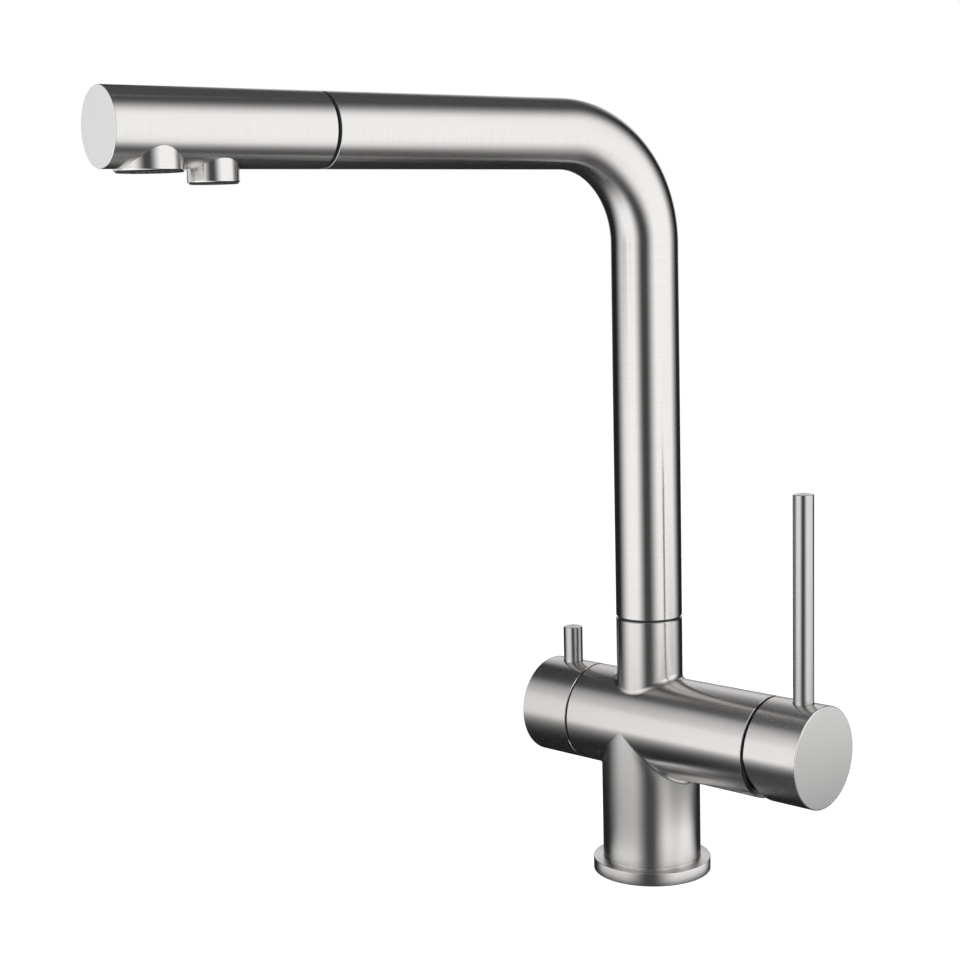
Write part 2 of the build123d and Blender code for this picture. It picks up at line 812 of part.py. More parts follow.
def spout_tube():
    """Riser, bend and arm, bent from one steel tube."""
    tube = bent_bar(riser_radius, 0.0, riser_foot, arm_reach)
    foot_edge = tube.edges().filter_by(GeomType.CIRCLE).sort_by(Axis.Z)[0]
    end_edge = tube.edges().filter_by(GeomType.CIRCLE).sort_by(Axis.Y)[0]
    tube = chamfer([foot_edge, end_edge], seam_chamfer)
    return turned(tube - bent_bar(riser_bore, 0.0, riser_foot, arm_reach))


def bent_hose(radius, bore, offset):
    """Hose through the swivel, the riser and the bend."""
    outside = bent_bar(radius, offset, hose_foot, hose_join)
    return turned(outside - bent_bar(bore, offset, hose_foot, hose_join))


def mixed_hose():
    """Braided hose for mixed water."""
    return bent_hose(mixed_hose_radius, mixed_hose_bore, mixed_hose_offset)


def filter_hose():
    """Plain hose for filtered water."""
    return bent_hose(filter_hose_radius, filter_hose_bore, filter_hose_offset)


def hose_ferrules():
    """Inner sleeves at the lower ends of both hoses, level with the deck."""
    sleeves = []
    low = hose_foot - ferrule_wall
    high = hose_foot + ferrule_height
    for bore, offset in ((mixed_hose_bore, mixed_hose_offset), (filter_hose_bore, filter_hose_offset)):
        outer = bore - fixed_clearance
        sleeve = upright(outer, low, high, 0.0, offset)
        sleeve -= upright(outer - ferrule_wall, low - cut_overrun, high + cut_overrun, 0.0, offset)
        sleeves.append(turned(sleeve))
    return sleeves


def dock_sleeve():
    """Plastic guide in the end of the arm for the head's spigot."""
    start = arm_reach - dock_sleeve_recess - dock_sleeve_length
    end = arm_reach - dock_sleeve_recess
    sleeve = along_arm(riser_bore - fixed_clearance, start, end)
    return turned(sleeve - along_arm(dock_bore, start - cut_overrun, end + cut_overrun))


def head_shell():
    """Tube of the head with a hole for each outlet."""
    end = tip_reach - end_cap_thickness
    shell = along_arm(riser_radius, head_start, end)
    near_edge = shell.edges().filter_by(GeomType.CIRCLE).sort_by(Axis.Y)[-1]
    shell = chamfer(near_edge, seam_chamfer)
    shell -= along_arm(head_bore, head_start - cut_overrun, end + cut_overrun)
    for place, radius, ceiling in outlets():
        shell -= upright(radius + fixed_clearance, 0.0, arm_height - ceiling, 0.0, -place)
    return turned(shell)


def outlets():
    """Place, outer radius and ceiling below the arm's axis of each outlet."""
    front = (front_outlet_place, front_outlet_radius, front_outlet_ceiling)
    rear = (rear_outlet_place, rear_outlet_radius, rear_outlet_ceiling)
    return (front, rear)


def head_end_cap():
    """Flat end of the head, welded in and ground flush."""
    cap = along_arm(riser_radius, tip_reach - end_cap_thickness, tip_reach)
    rim = cap.edges().filter_by(GeomType.CIRCLE).sort_by(Axis.Y)[0]
    cap = chamfer(rim, end_chamfer)
    plug = along_arm(waterway_radius, head_plug_start, tip_reach - end_cap_thickness)
    plug -= upright(front_outlet_radius + loose_clearance, 0.0, arm_height, 0.0, -front_outlet_place)
    return turned(cap + plug)


def nozzle(place, radius, drop, ceiling):
    """Steel sleeve of an outlet, standing in its hole in the head."""
    low = arm_height - riser_radius - drop
    high = arm_height - ceiling - nozzle_seal_height - fixed_clearance
    sleeve = upright(radius, low, high, 0.0, -place)
    rim = sleeve.edges().filter_by(GeomType.CIRCLE).sort_by(Axis.Z)[0]
    sleeve = chamfer(rim, nozzle_chamfer)
    sleeve -= upright(radius - nozzle_wall, low - cut_overrun, high + cut_overrun, 0.0, -place)
    return turned(sleeve)


def front_nozzle():
    """Wide sleeve for mixed water."""
    return nozzle(front_outlet_place, front_outlet_radius, front_outlet_drop, front_outlet_ceiling)


def rear_nozzle():
    """Narrow sleeve for filtered water."""
    return nozzle(rear_outlet_place, rear_outlet_radius, rear_outlet_drop, rear_outlet_ceiling)


def nozzle_seals():
    """Flat rubber ring above each sleeve."""
    rings = []
    for place, radius, ceiling in outlets():
        high = arm_height - ceiling - fixed_clearance
        low = high - nozzle_seal_height
        ring = upright(radius, low, high, 0.0, -place)
        rings.append(turned(ring - upright(radius - nozzle_wall, low, high, 0.0, -place)))
    return rings


def aerator(place, radius, drop):
    """Plastic insert with a pierced plate, set back from the sleeve's rim."""
    outer = radius - nozzle_wall - fixed_clearance
    low = arm_height - riser_radius - drop + aerator_recess
    high = low + aerator_height
    insert = upright(outer, low, high, 0.0, -place)
    insert -= upright(outer - aerator_wall, low + aerator_plate, high + cut_overrun, 0.0, -place)
    for share, count in zip(aerator_ring_shares, aerator_ring_counts):
        for step in range(count):
            angle = radians(360) * step / count
            x = outer * share * cos(angle)
            y = outer * share * sin(angle) - place
            insert -= upright(aerator_hole_radius, low - cut_overrun, high, x, y)
    insert -= upright(aerator_hole_radius, low - cut_overrun, high, 0.0, -place)
    return turned(insert)


def front_aerator():
    """Insert of the mixed water outlet."""
    return aerator(front_outlet_place, front_outlet_radius, front_outlet_drop)


def rear_aerator():
    """Insert of the filtered water outlet."""
    return aerator(rear_outlet_place, rear_outlet_radius, rear_outlet_drop)


def head_waterway():
    """Plastic body in the head that keeps the two waters apart."""
    body = along_arm(waterway_radius, waterway_start, waterway_end)
    for place, radius, ceiling in outlets():
        body -= upright(radius + loose_clearance, 0.0, arm_height - ceiling, 0.0, -place)
    ways = (
        (mixed_way_radius, front_outlet_place, mixed_hose_height),
        (head_filter_way_radius, rear_outlet_place, filter_hose_height),
    )
    for radius, place, height in ways:
        body -= along_arm(radius, waterway_start - cut_overrun, place, height)
        body -= Pos(0, -place, height) * Sphere(radius)
        body -= upright(radius, 0.0, height, 0.0, -place)
    return turned(body)


def head_spigot():
    """Plastic spigot that slides into the arm and carries the head's end."""
    tail = head_start - head_spigot_length
    spigot = along_arm(head_spigot_radius, tail, head_start)
    spigot += along_arm(waterway_radius, head_start, head_start + head_spigot_collar)
    collar_end = head_start + head_spigot_collar
    spigot -= along_arm(head_spigot_bore, tail - cut_overrun, collar_end + cut_overrun)
    half = dock_ring_section + fixed_clearance
    band = along_arm(riser_radius, dock_ring_place() - half, dock_ring_place() + half)
    floor = dock_bore - 2 * dock_ring_section - 2 * fixed_clearance
    spigot -= band - along_arm(floor, dock_ring_place() - half, dock_ring_place() + half)
    return turned(spigot)


def dock_ring_place():
    """Middle of the rubber ring along the arm."""
    return head_start - head_spigot_length / 2


def dock_ring():
    """Rubber ring that grips the dock sleeve when the head is home."""
    ring = Torus(dock_bore - fixed_clearance - dock_ring_section, dock_ring_section)
    return turned(Pos(0, -dock_ring_place(), arm_height) * Rot(90, 0, 0) * ring)


def head_hose(radius, bore, height):
    """Straight stretch of hose that moves out with the head."""
    start = hose_join + hose_join_gap
    end = waterway_start - connector_length
    return turned(along_arm(radius, start, end, height) - along_arm(bore, start, end, height))


def head_mixed_hose():
    """Stretch of the mixed water hose in the arm."""
    return head_hose(mixed_hose_radius, mixed_hose_bore, mixed_hose_height)


def head_filter_hose():
    """Stretch of the filtered water hose in the arm."""
    return head_hose(filter_hose_radius, filter_hose_bore, filter_hose_height)


def hose_connector(radius, bore, way, height):
    """Brass connector: a tail in the hose, a collar, and its face on the waterway."""
    tail_start = waterway_start - connector_length - connector_tail
    connector = along_arm(bore - fixed_clearance, tail_start, waterway_start - connector_length, height)
    connector += along_arm(radius, waterway_start - connector_length, waterway_start, height)
    return turned(connector - along_arm(way, tail_start - cut_overrun, waterway_start + cut_overrun, height))


def mixed_connector():
    """Connector of the mixed water hose."""
    way = mixed_hose_bore - check_valve_wall
    return hose_connector(mixed_hose_radius, mixed_hose_bore, way, mixed_hose_height)


def filter_connector():
    """Connector of the filtered water hose."""
    way = filter_hose_bore - check_valve_wall
    return hose_connector(filter_hose_radius, filter_hose_bore, way, filter_hose_height)


def check_valves():
    """Small valve in each way of the head, which stops water from running back."""
    valves = []
    end = waterway_start + check_valve_length
    ways = ((mixed_way_radius, mixed_hose_height), (head_filter_way_radius, filter_hose_height))
    for way, height in ways:
        outer = way - fixed_clearance
        valve = along_arm(outer, waterway_start, end, height)
        valves.append(turned(valve - along_arm(outer - check_valve_wall, waterway_start, end, height)))
    return valves


makers = [
    body_shell, base_flange, base_seal, inlet_block, valve_core,
    cartridge_base, cartridge_seals, cartridge_fixed_disc, cartridge_moving_disc, cartridge_disc_holder,
    cartridge_body, cartridge_carrier, cartridge_pin, cartridge_stem, cartridge_nut, cartridge_shroud,
    mixer_cap, mixer_lever, mixer_grub_screw,
    filter_seat_seal, filter_fixed_disc, filter_moving_disc, filter_spindle, spindle_seal,
    filter_valve_body, filter_knob, filter_lever, filter_knob_screw,
    lower_bush, upper_bush, slip_ring, spout_spigot, spigot_seals, spout_stop_screw,
    spout_tube, mixed_hose, filter_hose, hose_ferrules, dock_sleeve,
    head_shell, head_end_cap, front_nozzle, rear_nozzle, nozzle_seals, front_aerator, rear_aerator,
    head_waterway, head_spigot, dock_ring, head_mixed_hose, head_filter_hose,
    mixed_connector, filter_connector, check_valves,
]

nodes = {}
for maker in makers:
    made = maker()
    nodes[maker.__name__] = made if isinstance(made, list) else [made]
for name, (x, y) in ports.items():
    nodes[name] = [straight_pipe(x, y)]

os.makedirs("parts", exist_ok=True)
for name, pieces in nodes.items():
    solids = []
    for piece in pieces:
        solids.extend(piece.solids())
    whole = solids[0] if len(solids) == 1 else Compound(children=solids)
    export_step(whole, f"parts/{name}.step")
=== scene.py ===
import json
import math

import bpy
from mathutils import Matrix, Vector, geometry


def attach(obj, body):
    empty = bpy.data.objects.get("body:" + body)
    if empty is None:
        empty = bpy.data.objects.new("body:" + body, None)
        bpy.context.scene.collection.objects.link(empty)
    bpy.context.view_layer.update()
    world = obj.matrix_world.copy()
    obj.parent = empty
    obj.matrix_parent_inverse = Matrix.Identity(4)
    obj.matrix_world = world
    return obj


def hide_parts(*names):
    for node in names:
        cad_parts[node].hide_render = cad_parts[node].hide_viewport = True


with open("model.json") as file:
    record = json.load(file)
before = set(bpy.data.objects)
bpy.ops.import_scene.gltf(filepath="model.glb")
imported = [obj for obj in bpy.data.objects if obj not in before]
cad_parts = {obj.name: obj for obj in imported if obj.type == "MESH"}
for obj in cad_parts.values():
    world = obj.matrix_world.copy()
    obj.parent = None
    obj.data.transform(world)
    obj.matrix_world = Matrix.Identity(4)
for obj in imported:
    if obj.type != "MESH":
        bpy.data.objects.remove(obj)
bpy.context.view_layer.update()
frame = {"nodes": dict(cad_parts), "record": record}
mm = 0.001

# The studio. The camera stands in front and to the right of the tap, a little above the arm.
# Its place and lens are those at which the tap's outlines fall where the photograph has them.
camera_place = Vector((511.53, -640.40, 292.63)) * mm
camera_yaw = math.radians(43.922)
camera_pitch = math.radians(7.876)
camera_roll = math.radians(-1.4485)
focal_pixels = 1820.67
picture_pixels = 977


def put_in_scene(name, data):
    """Makes an object at the origin and links it to the scene."""
    made = bpy.data.objects.new(name, data)
    bpy.context.scene.collection.objects.link(made)
    return made


camera_data = bpy.data.cameras.new("photo_camera")
camera_data.sensor_fit = "AUTO"
camera_data.lens = camera_data.sensor_width * focal_pixels / picture_pixels
camera = put_in_scene("photo_camera", camera_data)
camera.matrix_world = (
    Matrix.Translation(camera_place) @ Matrix.Rotation(camera_yaw, 4, "Z")
    @ Matrix.Rotation(math.pi / 2 - camera_pitch, 4, "X") @ Matrix.Rotation(camera_roll, 4, "Z")
)
bpy.context.scene.camera = camera
bpy.context.scene.view_settings.view_transform = "Standard"


class Recipe:
    """Short hand for wiring the nodes of one material, world or geometry tree."""

    def __init__(self, owner):
        self.owner = owner
        if isinstance(owner, bpy.types.NodeTree):
            self.tree = owner
        else:
            owner.use_nodes = True
            self.tree = owner.node_tree
        self.tree.nodes.clear()

    def node(self, kind, inputs=None, **settings):
        made = self.tree.nodes.new(kind)
        for key, value in settings.items():
            setattr(made, key, value)
        for key, value in (inputs or {}).items():
            if isinstance(value, bpy.types.NodeSocket):
                self.tree.links.new(value, made.inputs[key])
            else:
                made.inputs[key].default_value = value
        return made

    def sum(self, kind, first, second=0.0, third=0.0, clamp=False):
        values = {0: first, 1: second, 2: third}
        return self.node("ShaderNodeMath", values, operation=kind, use_clamp=clamp).outputs[0]

    def soft_step(self, value, low, high):
        ends = {"Value": value, "From Min": low, "From Max": high}
        return self.node("ShaderNodeMapRange", ends, interpolation_type="SMOOTHSTEP").outputs["Result"]

    def noise(self, place, scale, detail):
        return self.node("ShaderNodeTexNoise", {"Vector": place, "Scale": scale, "Detail": detail}).outputs[0]

    def blend(self, factor, first_tone, second_tone):
        tones = {"Factor": factor, 6: first_tone, 7: second_tone}
        return self.node("ShaderNodeMix", tones, data_type="RGBA").outputs[2]

    def bump(self, height, strength, depth):
        return self.node("ShaderNodeBump", {"Strength": strength, "Distance": depth, "Height": height}).outputs[0]

    def own_place(self):
        return self.node("ShaderNodeTexCoord").outputs["Object"]

    def cover(self, shader):
        """Ends a material with its surface and returns it."""
        self.node("ShaderNodeOutputMaterial", {"Surface": shader.outputs[0]})
        return self.owner

    def looked_at(self):
        """1 where the eye, the metal or a clear part looks, 0 where light is gathered."""
        rays = self.node("ShaderNodeLightPath").outputs
        seen = self.sum("ADD", rays["Is Camera Ray"], rays["Is Glossy Ray"])
        return self.sum("ADD", seen, rays["Is Transmission Ray"], clamp=True)


# White paper all round: the world is white to the eye and in the metal, and gives a mild fill.
paper_fill = 0.55
world = bpy.data.worlds.new("paper_room")
bpy.context.scene.world = world
room = Recipe(world)
strength = room.node("ShaderNodeMix", {"Factor": room.looked_at(), "A": paper_fill, "B": 1.0}).outputs["Result"]
backdrop = room.node("ShaderNodeBackground", {"Color": (1, 1, 1, 1), "Strength": strength})
room.node("ShaderNodeOutputWorld", {"Surface": backdrop.outputs[0]})

# The deck is a pale sheet that only shows the tap's soft shadow.
floor_half = 4.0
paper_glow = 0.9
glowing_tone = (0.26, 0.26, 0.26, 1)
paper_tone = (0.8, 0.8, 0.8, 1)
floor_mesh = bpy.data.meshes.new("floor")
floor_corners = [(x * floor_half, y * floor_half, 0) for x, y in ((-1, -1), (1, -1), (1, 1), (-1, 1))]
floor_mesh.from_pydata(floor_corners, [], [(0, 1, 2, 3)])
floor = put_in_scene("floor", floor_mesh)
floor.visible_glossy = False
paper = bpy.data.materials.new("white_paper")
sheet = Recipe(paper)
matt = sheet.node("ShaderNodeBsdfDiffuse", {"Color": glowing_tone}).outputs[0]
glow = sheet.node("ShaderNodeEmission", {"Color": (1, 1, 1, 1), "Strength": paper_glow}).outputs[0]
lit = sheet.node("ShaderNodeAddShader", {0: matt, 1: glow}).outputs[0]
plain = sheet.node("ShaderNodeBsdfDiffuse", {"Color": paper_tone}).outputs[0]
sheet.cover(sheet.node("ShaderNodeMixShader", {0: sheet.looked_at(), 1: plain, 2: lit}))
floor_mesh.materials.append(paper)

# Two tall diffusers stand left and right of the camera and light the deck and the plastic parts.
diffuser_width, diffuser_height = 0.9, 1.1
diffuser_rise = 0.75
for name, bearing, power in (("left_lamp", -103, 9.0), ("right_lamp", 8, 11.0)):
    lamp_data = bpy.data.lights.new(name, "AREA")
    lamp_data.shape = "RECTANGLE"
    lamp_data.size = diffuser_width
    lamp_data.size_y = diffuser_height
    lamp_data.energy = power
    lamp = put_in_scene(name, lamp_data)
    away = Vector((math.cos(math.radians(bearing)), math.sin(math.radians(bearing)), diffuser_rise))
    lamp.location = away
    lamp.rotation_euler = away.to_track_quat("Z", "Y").to_euler()
    lamp.visible_glossy = False

# What the metal sees is a tent of white cloth over a round sweep, with black flags. The sweep is
# dark about the foot but for a low collar of cloth round the flange, which is taller on the right,
# and the tent is dark behind the camera, at both far sides and overhead.
tent_radius = 1.05
tent_middle = 0.16
tent_hem = math.radians(98)
tent_rows, tent_columns = 20, 48
sweep_dip = -0.002
collar_radius, collar_foot = 0.031, 0.0005
collar_low_height, collar_added_height = 0.010, 0.010
collar_slant = 0.625
tall_side = math.radians(66)
camera_bearing = math.atan2(camera_place.y, camera_place.x)
tent_bearings = [2 * math.pi * column / tent_columns for column in range(tent_columns)]
tent_points, tent_faces = [], []


def hang_cloth(rings):
    """Joins rings side by side. A ring has a radius and a height for each bearing."""
    for ring in rings:
        for bearing, (radius, height) in zip(tent_bearings, ring):
            tent_points.append((radius * math.cos(bearing), radius * math.sin(bearing), height))
    for row in range(1, len(rings)):
        far = len(tent_points) - row * tent_columns
        near = far - tent_columns
        for column in range(tent_columns):
            beside = (column + 1) % tent_columns
            tent_faces.append((near + column, near + beside, far + beside, far + column))


cloth_rings = []
for row in range(1, tent_rows + 1):
    slope = tent_hem * row / tent_rows
    spot = (tent_radius * math.sin(slope), tent_middle + tent_radius * math.cos(slope))
    cloth_rings.append([spot] * tent_columns)
hang_cloth(cloth_rings)
for pole_height, near in ((tent_middle + tent_radius, 0), (sweep_dip, (tent_rows - 1) * tent_columns)):
    tent_points.append((0, 0, pole_height))
    for column in range(tent_columns):
        tent_faces.append((near + column, near + (column + 1) % tent_columns, len(tent_points) - 1))
collar_rim = []
for bearing in tent_bearings:
    tall = min(max((math.cos(bearing - camera_bearing - tall_side) - 0.35) / 0.3, 0), 1)
    height = collar_low_height + collar_added_height * tall
    collar_rim.append((collar_radius + collar_slant * height, collar_foot + height))
hang_cloth([[(collar_radius, collar_foot)] * tent_columns, collar_rim])


def stage_glow(name, points, faces):
    """A bright or black card that only the metal sees. Returns its recipe."""
    card_mesh = bpy.data.meshes.new(name)
    card_mesh.from_pydata(points, [], faces)
    card = put_in_scene(name, card_mesh)
    for ray in ("camera", "diffuse", "shadow", "transmission", "volume_scatter"):
        setattr(card, "visible_" + ray, False)
    cloth = bpy.data.materials.new(name + "_cloth")
    cloth.cycles.emission_sampling = "NONE"
    card_mesh.materials.append(cloth)
    return Recipe(cloth)


tent = stage_glow("light_tent", tent_points, tent_faces)
place = tent.node("ShaderNodeSeparateXYZ", {0: tent.own_place()}).outputs
turn = tent.sum("SUBTRACT", tent.sum("ARCTAN2", place["Y"], place["X"]), camera_bearing)
turn = tent.sum("DEGREES", tent.sum("WRAP", turn, math.pi, -math.pi))
height = tent.sum("DIVIDE", tent.sum("SUBTRACT", place["Z"], tent_middle), tent_radius)
rise = tent.sum("DEGREES", tent.sum("ARCSINE", height))
square = tent.sum("ADD", tent.sum("POWER", place["X"], 2.0), tent.sum("POWER", place["Y"], 2.0))
span = tent.sum("SQRT", square)


def cloth_patch(level, *edges):
    """A bright patch with soft edges, each given as a reading, its dark and its bright end."""
    shade = None
    for reading, dark, bright in edges:
        step = tent.soft_step(reading, float(min(dark, bright)), float(max(dark, bright)))
        if dark > bright:
            step = tent.sum("SUBTRACT", 1.0, step)
        shade = step if shade is None else tent.sum("MULTIPLY", shade, step)
    return tent.sum("MULTIPLY", shade, level)


flag_level = 0.022
cloth_level = 1.38
on_collar = ((span, 0.062, 0.058), (place["Z"], -0.001, 0.0002))
on_back = ((rise, 46, 28), (rise, -4, 12))
glow = flag_level
for patch in (
    cloth_patch(cloth_level, (turn, -120, -66), (turn, -8, -42), (rise, 60, 22), (span, 0.06, 0.36)),
    cloth_patch(cloth_level, (turn, 2, 40), (turn, 84, 58), (rise, 80, 36), (span, 0.08, 0.42)),
    cloth_patch(cloth_level, (turn, 58, 84), (turn, 108, 88), (rise, 80, 36), (span, 0.05, 0.75)),
    cloth_patch(cloth_level, (turn, 88, 108), (turn, 132, 80), (rise, 80, 36), (span, 0.08, 0.42)),
    cloth_patch(0.95, (turn, -90, -62), (turn, -6, -34), *on_collar),
    cloth_patch(1.25, (turn, 0, 30), (turn, 100, 70), *on_collar),
    cloth_patch(1.0, (turn, -150, -164), *on_back),
    cloth_patch(1.0, (turn, 150, 164), *on_back),
    cloth_patch(0.075, (rise, 35, 60)),
    cloth_patch(0.06, (turn, -60, -10), (turn, 60, 10)),
):
    glow = tent.sum("ADD", glow, patch)
tent.cover(tent.node("ShaderNodeEmission", {"Color": (1.0, 0.995, 0.99, 1), "Strength": glow}))

# A small white card beside the tip of the spout fills its flat end.
card_half = 0.11
card_stand_off = 0.16
card_level = 0.86
spout_tip = Vector((-0.046, -0.254, 0.335))
card_way = Vector((-0.967, -0.243, 0.062))
card_middle = spout_tip + card_way * card_stand_off
card_side = card_way.cross(Vector((0, 0, 1))).normalized() * card_half
card_rise = card_side.cross(card_way)
card = stage_glow("tip_card", [
    card_middle - card_side - card_rise, card_middle + card_side - card_rise,
    card_middle + card_side + card_rise, card_middle - card_side + card_rise,
], [(0, 1, 2, 3)])
card.cover(card.node("ShaderNodeEmission", {"Color": (1, 1, 1, 1), "Strength": card_level}))

# Deck flange. It is turned from stainless bar, with a low lip that the column stands on, and is
# brushed round on the lathe. Its edges are broken lightly, and the top face is left satin.
flange_radius = 27.0 * mm
flange_height = 5.9 * mm
flange_bore = 20.6 * mm
lip_radius = 22.5 * mm
lip_root = 0.15 * mm
column_foot = 7.0 * mm
groove_inside, groove_outside = 22.15 * mm, 24.85 * mm
groove_depth = 1.55 * mm
fine_edge = 0.3 * mm
flange_steps = 160


def full_turn(steps, start=0.0):
    """Angles of a whole turn, the last one over the first, each with its cosine and sine."""
    angles = [start + 2 * math.pi * k / steps for k in range(steps + 1)]
    return [(angle, math.cos(angle), math.sin(angle)) for angle in angles]


class Skin:
    """A surface built face by face. Each corner has a place, a normal and a place along the grain."""

    def __init__(self):
        self.places = []
        self.numbers = {}
        self.faces = []
        self.normals = []
        self.grain = []
        self.edges = []
        self.finishes = []

    def face(self, corners, finish=0, edge=0.0):
        ids, kept = [], []
        for place, normal, grain in corners:
            key = tuple(round(c * 1e6) for c in place)
            if key not in self.numbers:
                self.numbers[key] = len(self.places)
                self.places.append(place)
            if self.numbers[key] not in ids:
                ids.append(self.numbers[key])
                kept.append((normal, grain))
        if len(ids) < 3:
            return
        first, second, third = (self.places[i] for i in ids[:3])
        flat = (second - first).cross(third - first)
        if len(ids) == 4 and flat.length < 1e-16:
            flat = (third - first).cross(self.places[ids[3]] - first)
        if flat.dot(sum((n for n, _ in kept), Vector())) < 0:
            ids.reverse()
            kept.reverse()
        self.faces.append(ids)
        self.normals.extend(n.normalized() for n, _ in kept)
        self.grain.extend(g for _, g in kept)
        self.edges.append(edge)
        self.finishes.append(finish)

    def band(self, rings, finish=0, edge=0.0):
        """Joins rings of corners, each as long as the next, side by side."""
        for near, far in zip(rings, rings[1:]):
            for k in range(len(near) - 1):
                self.face([near[k], near[k + 1], far[k + 1], far[k]], finish, edge)

    def build(self, name, *materials, exact=True):
        """Makes the object. Where exact is off, its normals come from its faces."""
        mesh = bpy.data.meshes.new(name)
        mesh.from_pydata(self.places, [], self.faces)
        grain = mesh.uv_layers.new(name="grain")
        grain.data.foreach_set("uv", [c for g in self.grain for c in g])
        edge = mesh.attributes.new("edge", "FLOAT", "FACE")
        edge.data.foreach_set("value", self.edges)
        for material in materials:
            mesh.materials.append(material)
        mesh.polygons.foreach_set("material_index", self.finishes)
        mesh.polygons.foreach_set("use_smooth", [True] * len(self.faces))
        if exact:
            mesh.normals_split_custom_set(self.normals)
        else:
            mesh.set_sharp_from_angle(angle=math.radians(40))
        mesh.update()
        return put_in_scene(name, mesh)


def rounded_strips(corners, arc_steps=4):
    """Strips of a closed outline. A corner is (radius, height, rounding, finish of the side after it)."""
    count = len(corners)
    points = [Vector(c[:2]) for c in corners]
    strips, length = [], 0.0
    ends = []
    for i in range(count):
        into = (points[i] - points[i - 1]).normalized()
        out = (points[(i + 1) % count] - points[i]).normalized()
        n_in, n_out = Vector((into.y, -into.x)), Vector((out.y, -out.x))
        bend = into.angle_signed(out) * -1
        rounding = corners[i][2]
        cut = rounding * math.tan(abs(bend) / 2) if rounding else 0.0
        ends.append((points[i] - into * cut, points[i] + out * cut, n_in, n_out, bend, rounding))
    for i in range(count):
        start, end, n_in, n_out, bend, rounding = ends[i]
        if rounding:
            side = 1 if bend > 0 else -1
            centre = start - n_in * rounding * side
            before = (start, n_in)
            for step in range(1, arc_steps + 1):
                normal = Matrix.Rotation(bend * step / arc_steps, 2) @ n_in
                now = (centre + normal * rounding * side, normal)
                far = length + (now[0] - before[0]).length
                strips.append((before, now, length, far, corners[i - 1][3], 1.0))
                before, length = now, far
        following = ends[(i + 1) % count][0]
        far = length + (following - end).length
        strips.append(((end, n_out), (following, n_out), length, far, corners[i][3], 0.0))
        length = far
    return strips


def spun_ring(stand, steps, point, normal, length, grain_radius):
    """A ring of corners about the stand's axis. Point and normal are given outward and upward."""
    swing = stand.to_3x3()
    ring = []
    for angle, c, s in full_turn(steps):
        place = stand @ Vector((c * point[0], s * point[0], point[1]))
        spoke = swing @ Vector((c * normal[0], s * normal[0], normal[1]))
        ring.append((place, spoke, (length, angle * grain_radius)))
    return ring


def turn_on_lathe(skin, corners, steps, stand, grain_radius):
    """Turns a rounded outline about Z and stands the result where the matrix says."""
    for near, far, near_length, far_length, finish, edge in rounded_strips(corners):
        skin.band([
            spun_ring(stand, steps, *near, near_length, grain_radius),
            spun_ring(stand, steps, *far, far_length, grain_radius),
        ], finish, edge)


def shade_of(tone, share):
    """A colour made lighter or darker."""
    return tuple(min(1.0, c * share) for c in tone) + (1,)


def brushed_steel(name, tone, roughness, stretch, grain_depth=0.012):
    """Stainless steel brushed round the piece: fine scratches follow the grain map's second way."""
    recipe = Recipe(bpy.data.materials.new(name))
    grain = recipe.node("ShaderNodeUVMap", uv_map="grain").outputs[0]
    fine_place = recipe.node("ShaderNodeMapping", {"Vector": grain, "Scale": (5200, 5, 1)}).outputs[0]
    wide_place = recipe.node("ShaderNodeMapping", {"Vector": grain, "Scale": (1100, 3, 1)}).outputs[0]
    wide = recipe.sum("MULTIPLY", recipe.noise(wide_place, 1.0, 2.0), 0.2)
    scratches = recipe.sum("MULTIPLY_ADD", recipe.noise(fine_place, 1.0, 1.0), 0.8, wide)
    cloud = recipe.noise(recipe.own_place(), 38.0, 2.0)
    # Faces marked as edges, the chamfers and rounded corners, are made lighter in colour: a painted highlight along
    # the edges. They are also a little smoother.
    painted_edge_highlight = recipe.node("ShaderNodeAttribute", attribute_name="edge").outputs["Fac"]
    colour = recipe.blend(recipe.soft_step(scratches, 0.3, 0.7), shade_of(tone, 0.97), shade_of(tone, 1.025))
    colour = recipe.blend(painted_edge_highlight, colour, shade_of(tone, 1.12))
    rough = recipe.sum("MULTIPLY_ADD", scratches, 0.03, roughness - 0.035)
    rough = recipe.sum("MULTIPLY_ADD", cloud, 0.04, rough)
    rough = recipe.sum("MULTIPLY_ADD", painted_edge_highlight, -0.08, rough)
    return recipe.cover(recipe.node("ShaderNodeBsdfPrincipled", {
        "Base Color": colour, "Metallic": 1.0, "Roughness": rough, "Anisotropic": stretch,
        "Tangent": recipe.node("ShaderNodeTangent", direction_type="UV_MAP", uv_map="grain").outputs[0],
        "Normal": recipe.bump(scratches, grain_depth, 0.02 * mm),
    }))


steel_tone = (0.637, 0.626, 0.618)
# The flange gets a lighter copy of the steel: painted light, which brightens the foot's dim reflections.
lightened_flange_steel = brushed_steel("lightened_flange_steel", (0.68, 0.67, 0.662), 0.30, 0.98)
flange = Skin()
turn_on_lathe(flange, [
    (flange_bore, 0, 0, 0), (groove_inside, 0, 0, 0), (groove_inside, groove_depth, 0, 0),
    (groove_outside, groove_depth, 0, 0), (groove_outside, 0, 0, 0), (flange_radius, 0, fine_edge, 0),
    (flange_radius, flange_height, fine_edge, 0), (lip_radius, flange_height, lip_root, 0),
    (lip_radius, column_foot, fine_edge, 0), (flange_bore, column_foot, 0, 0),
], flange_steps, Matrix.Identity(4), flange_radius)
flange = flange.build("deck_flange", lightened_flange_steel)
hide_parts("base_flange")
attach(flange, "tap_body")

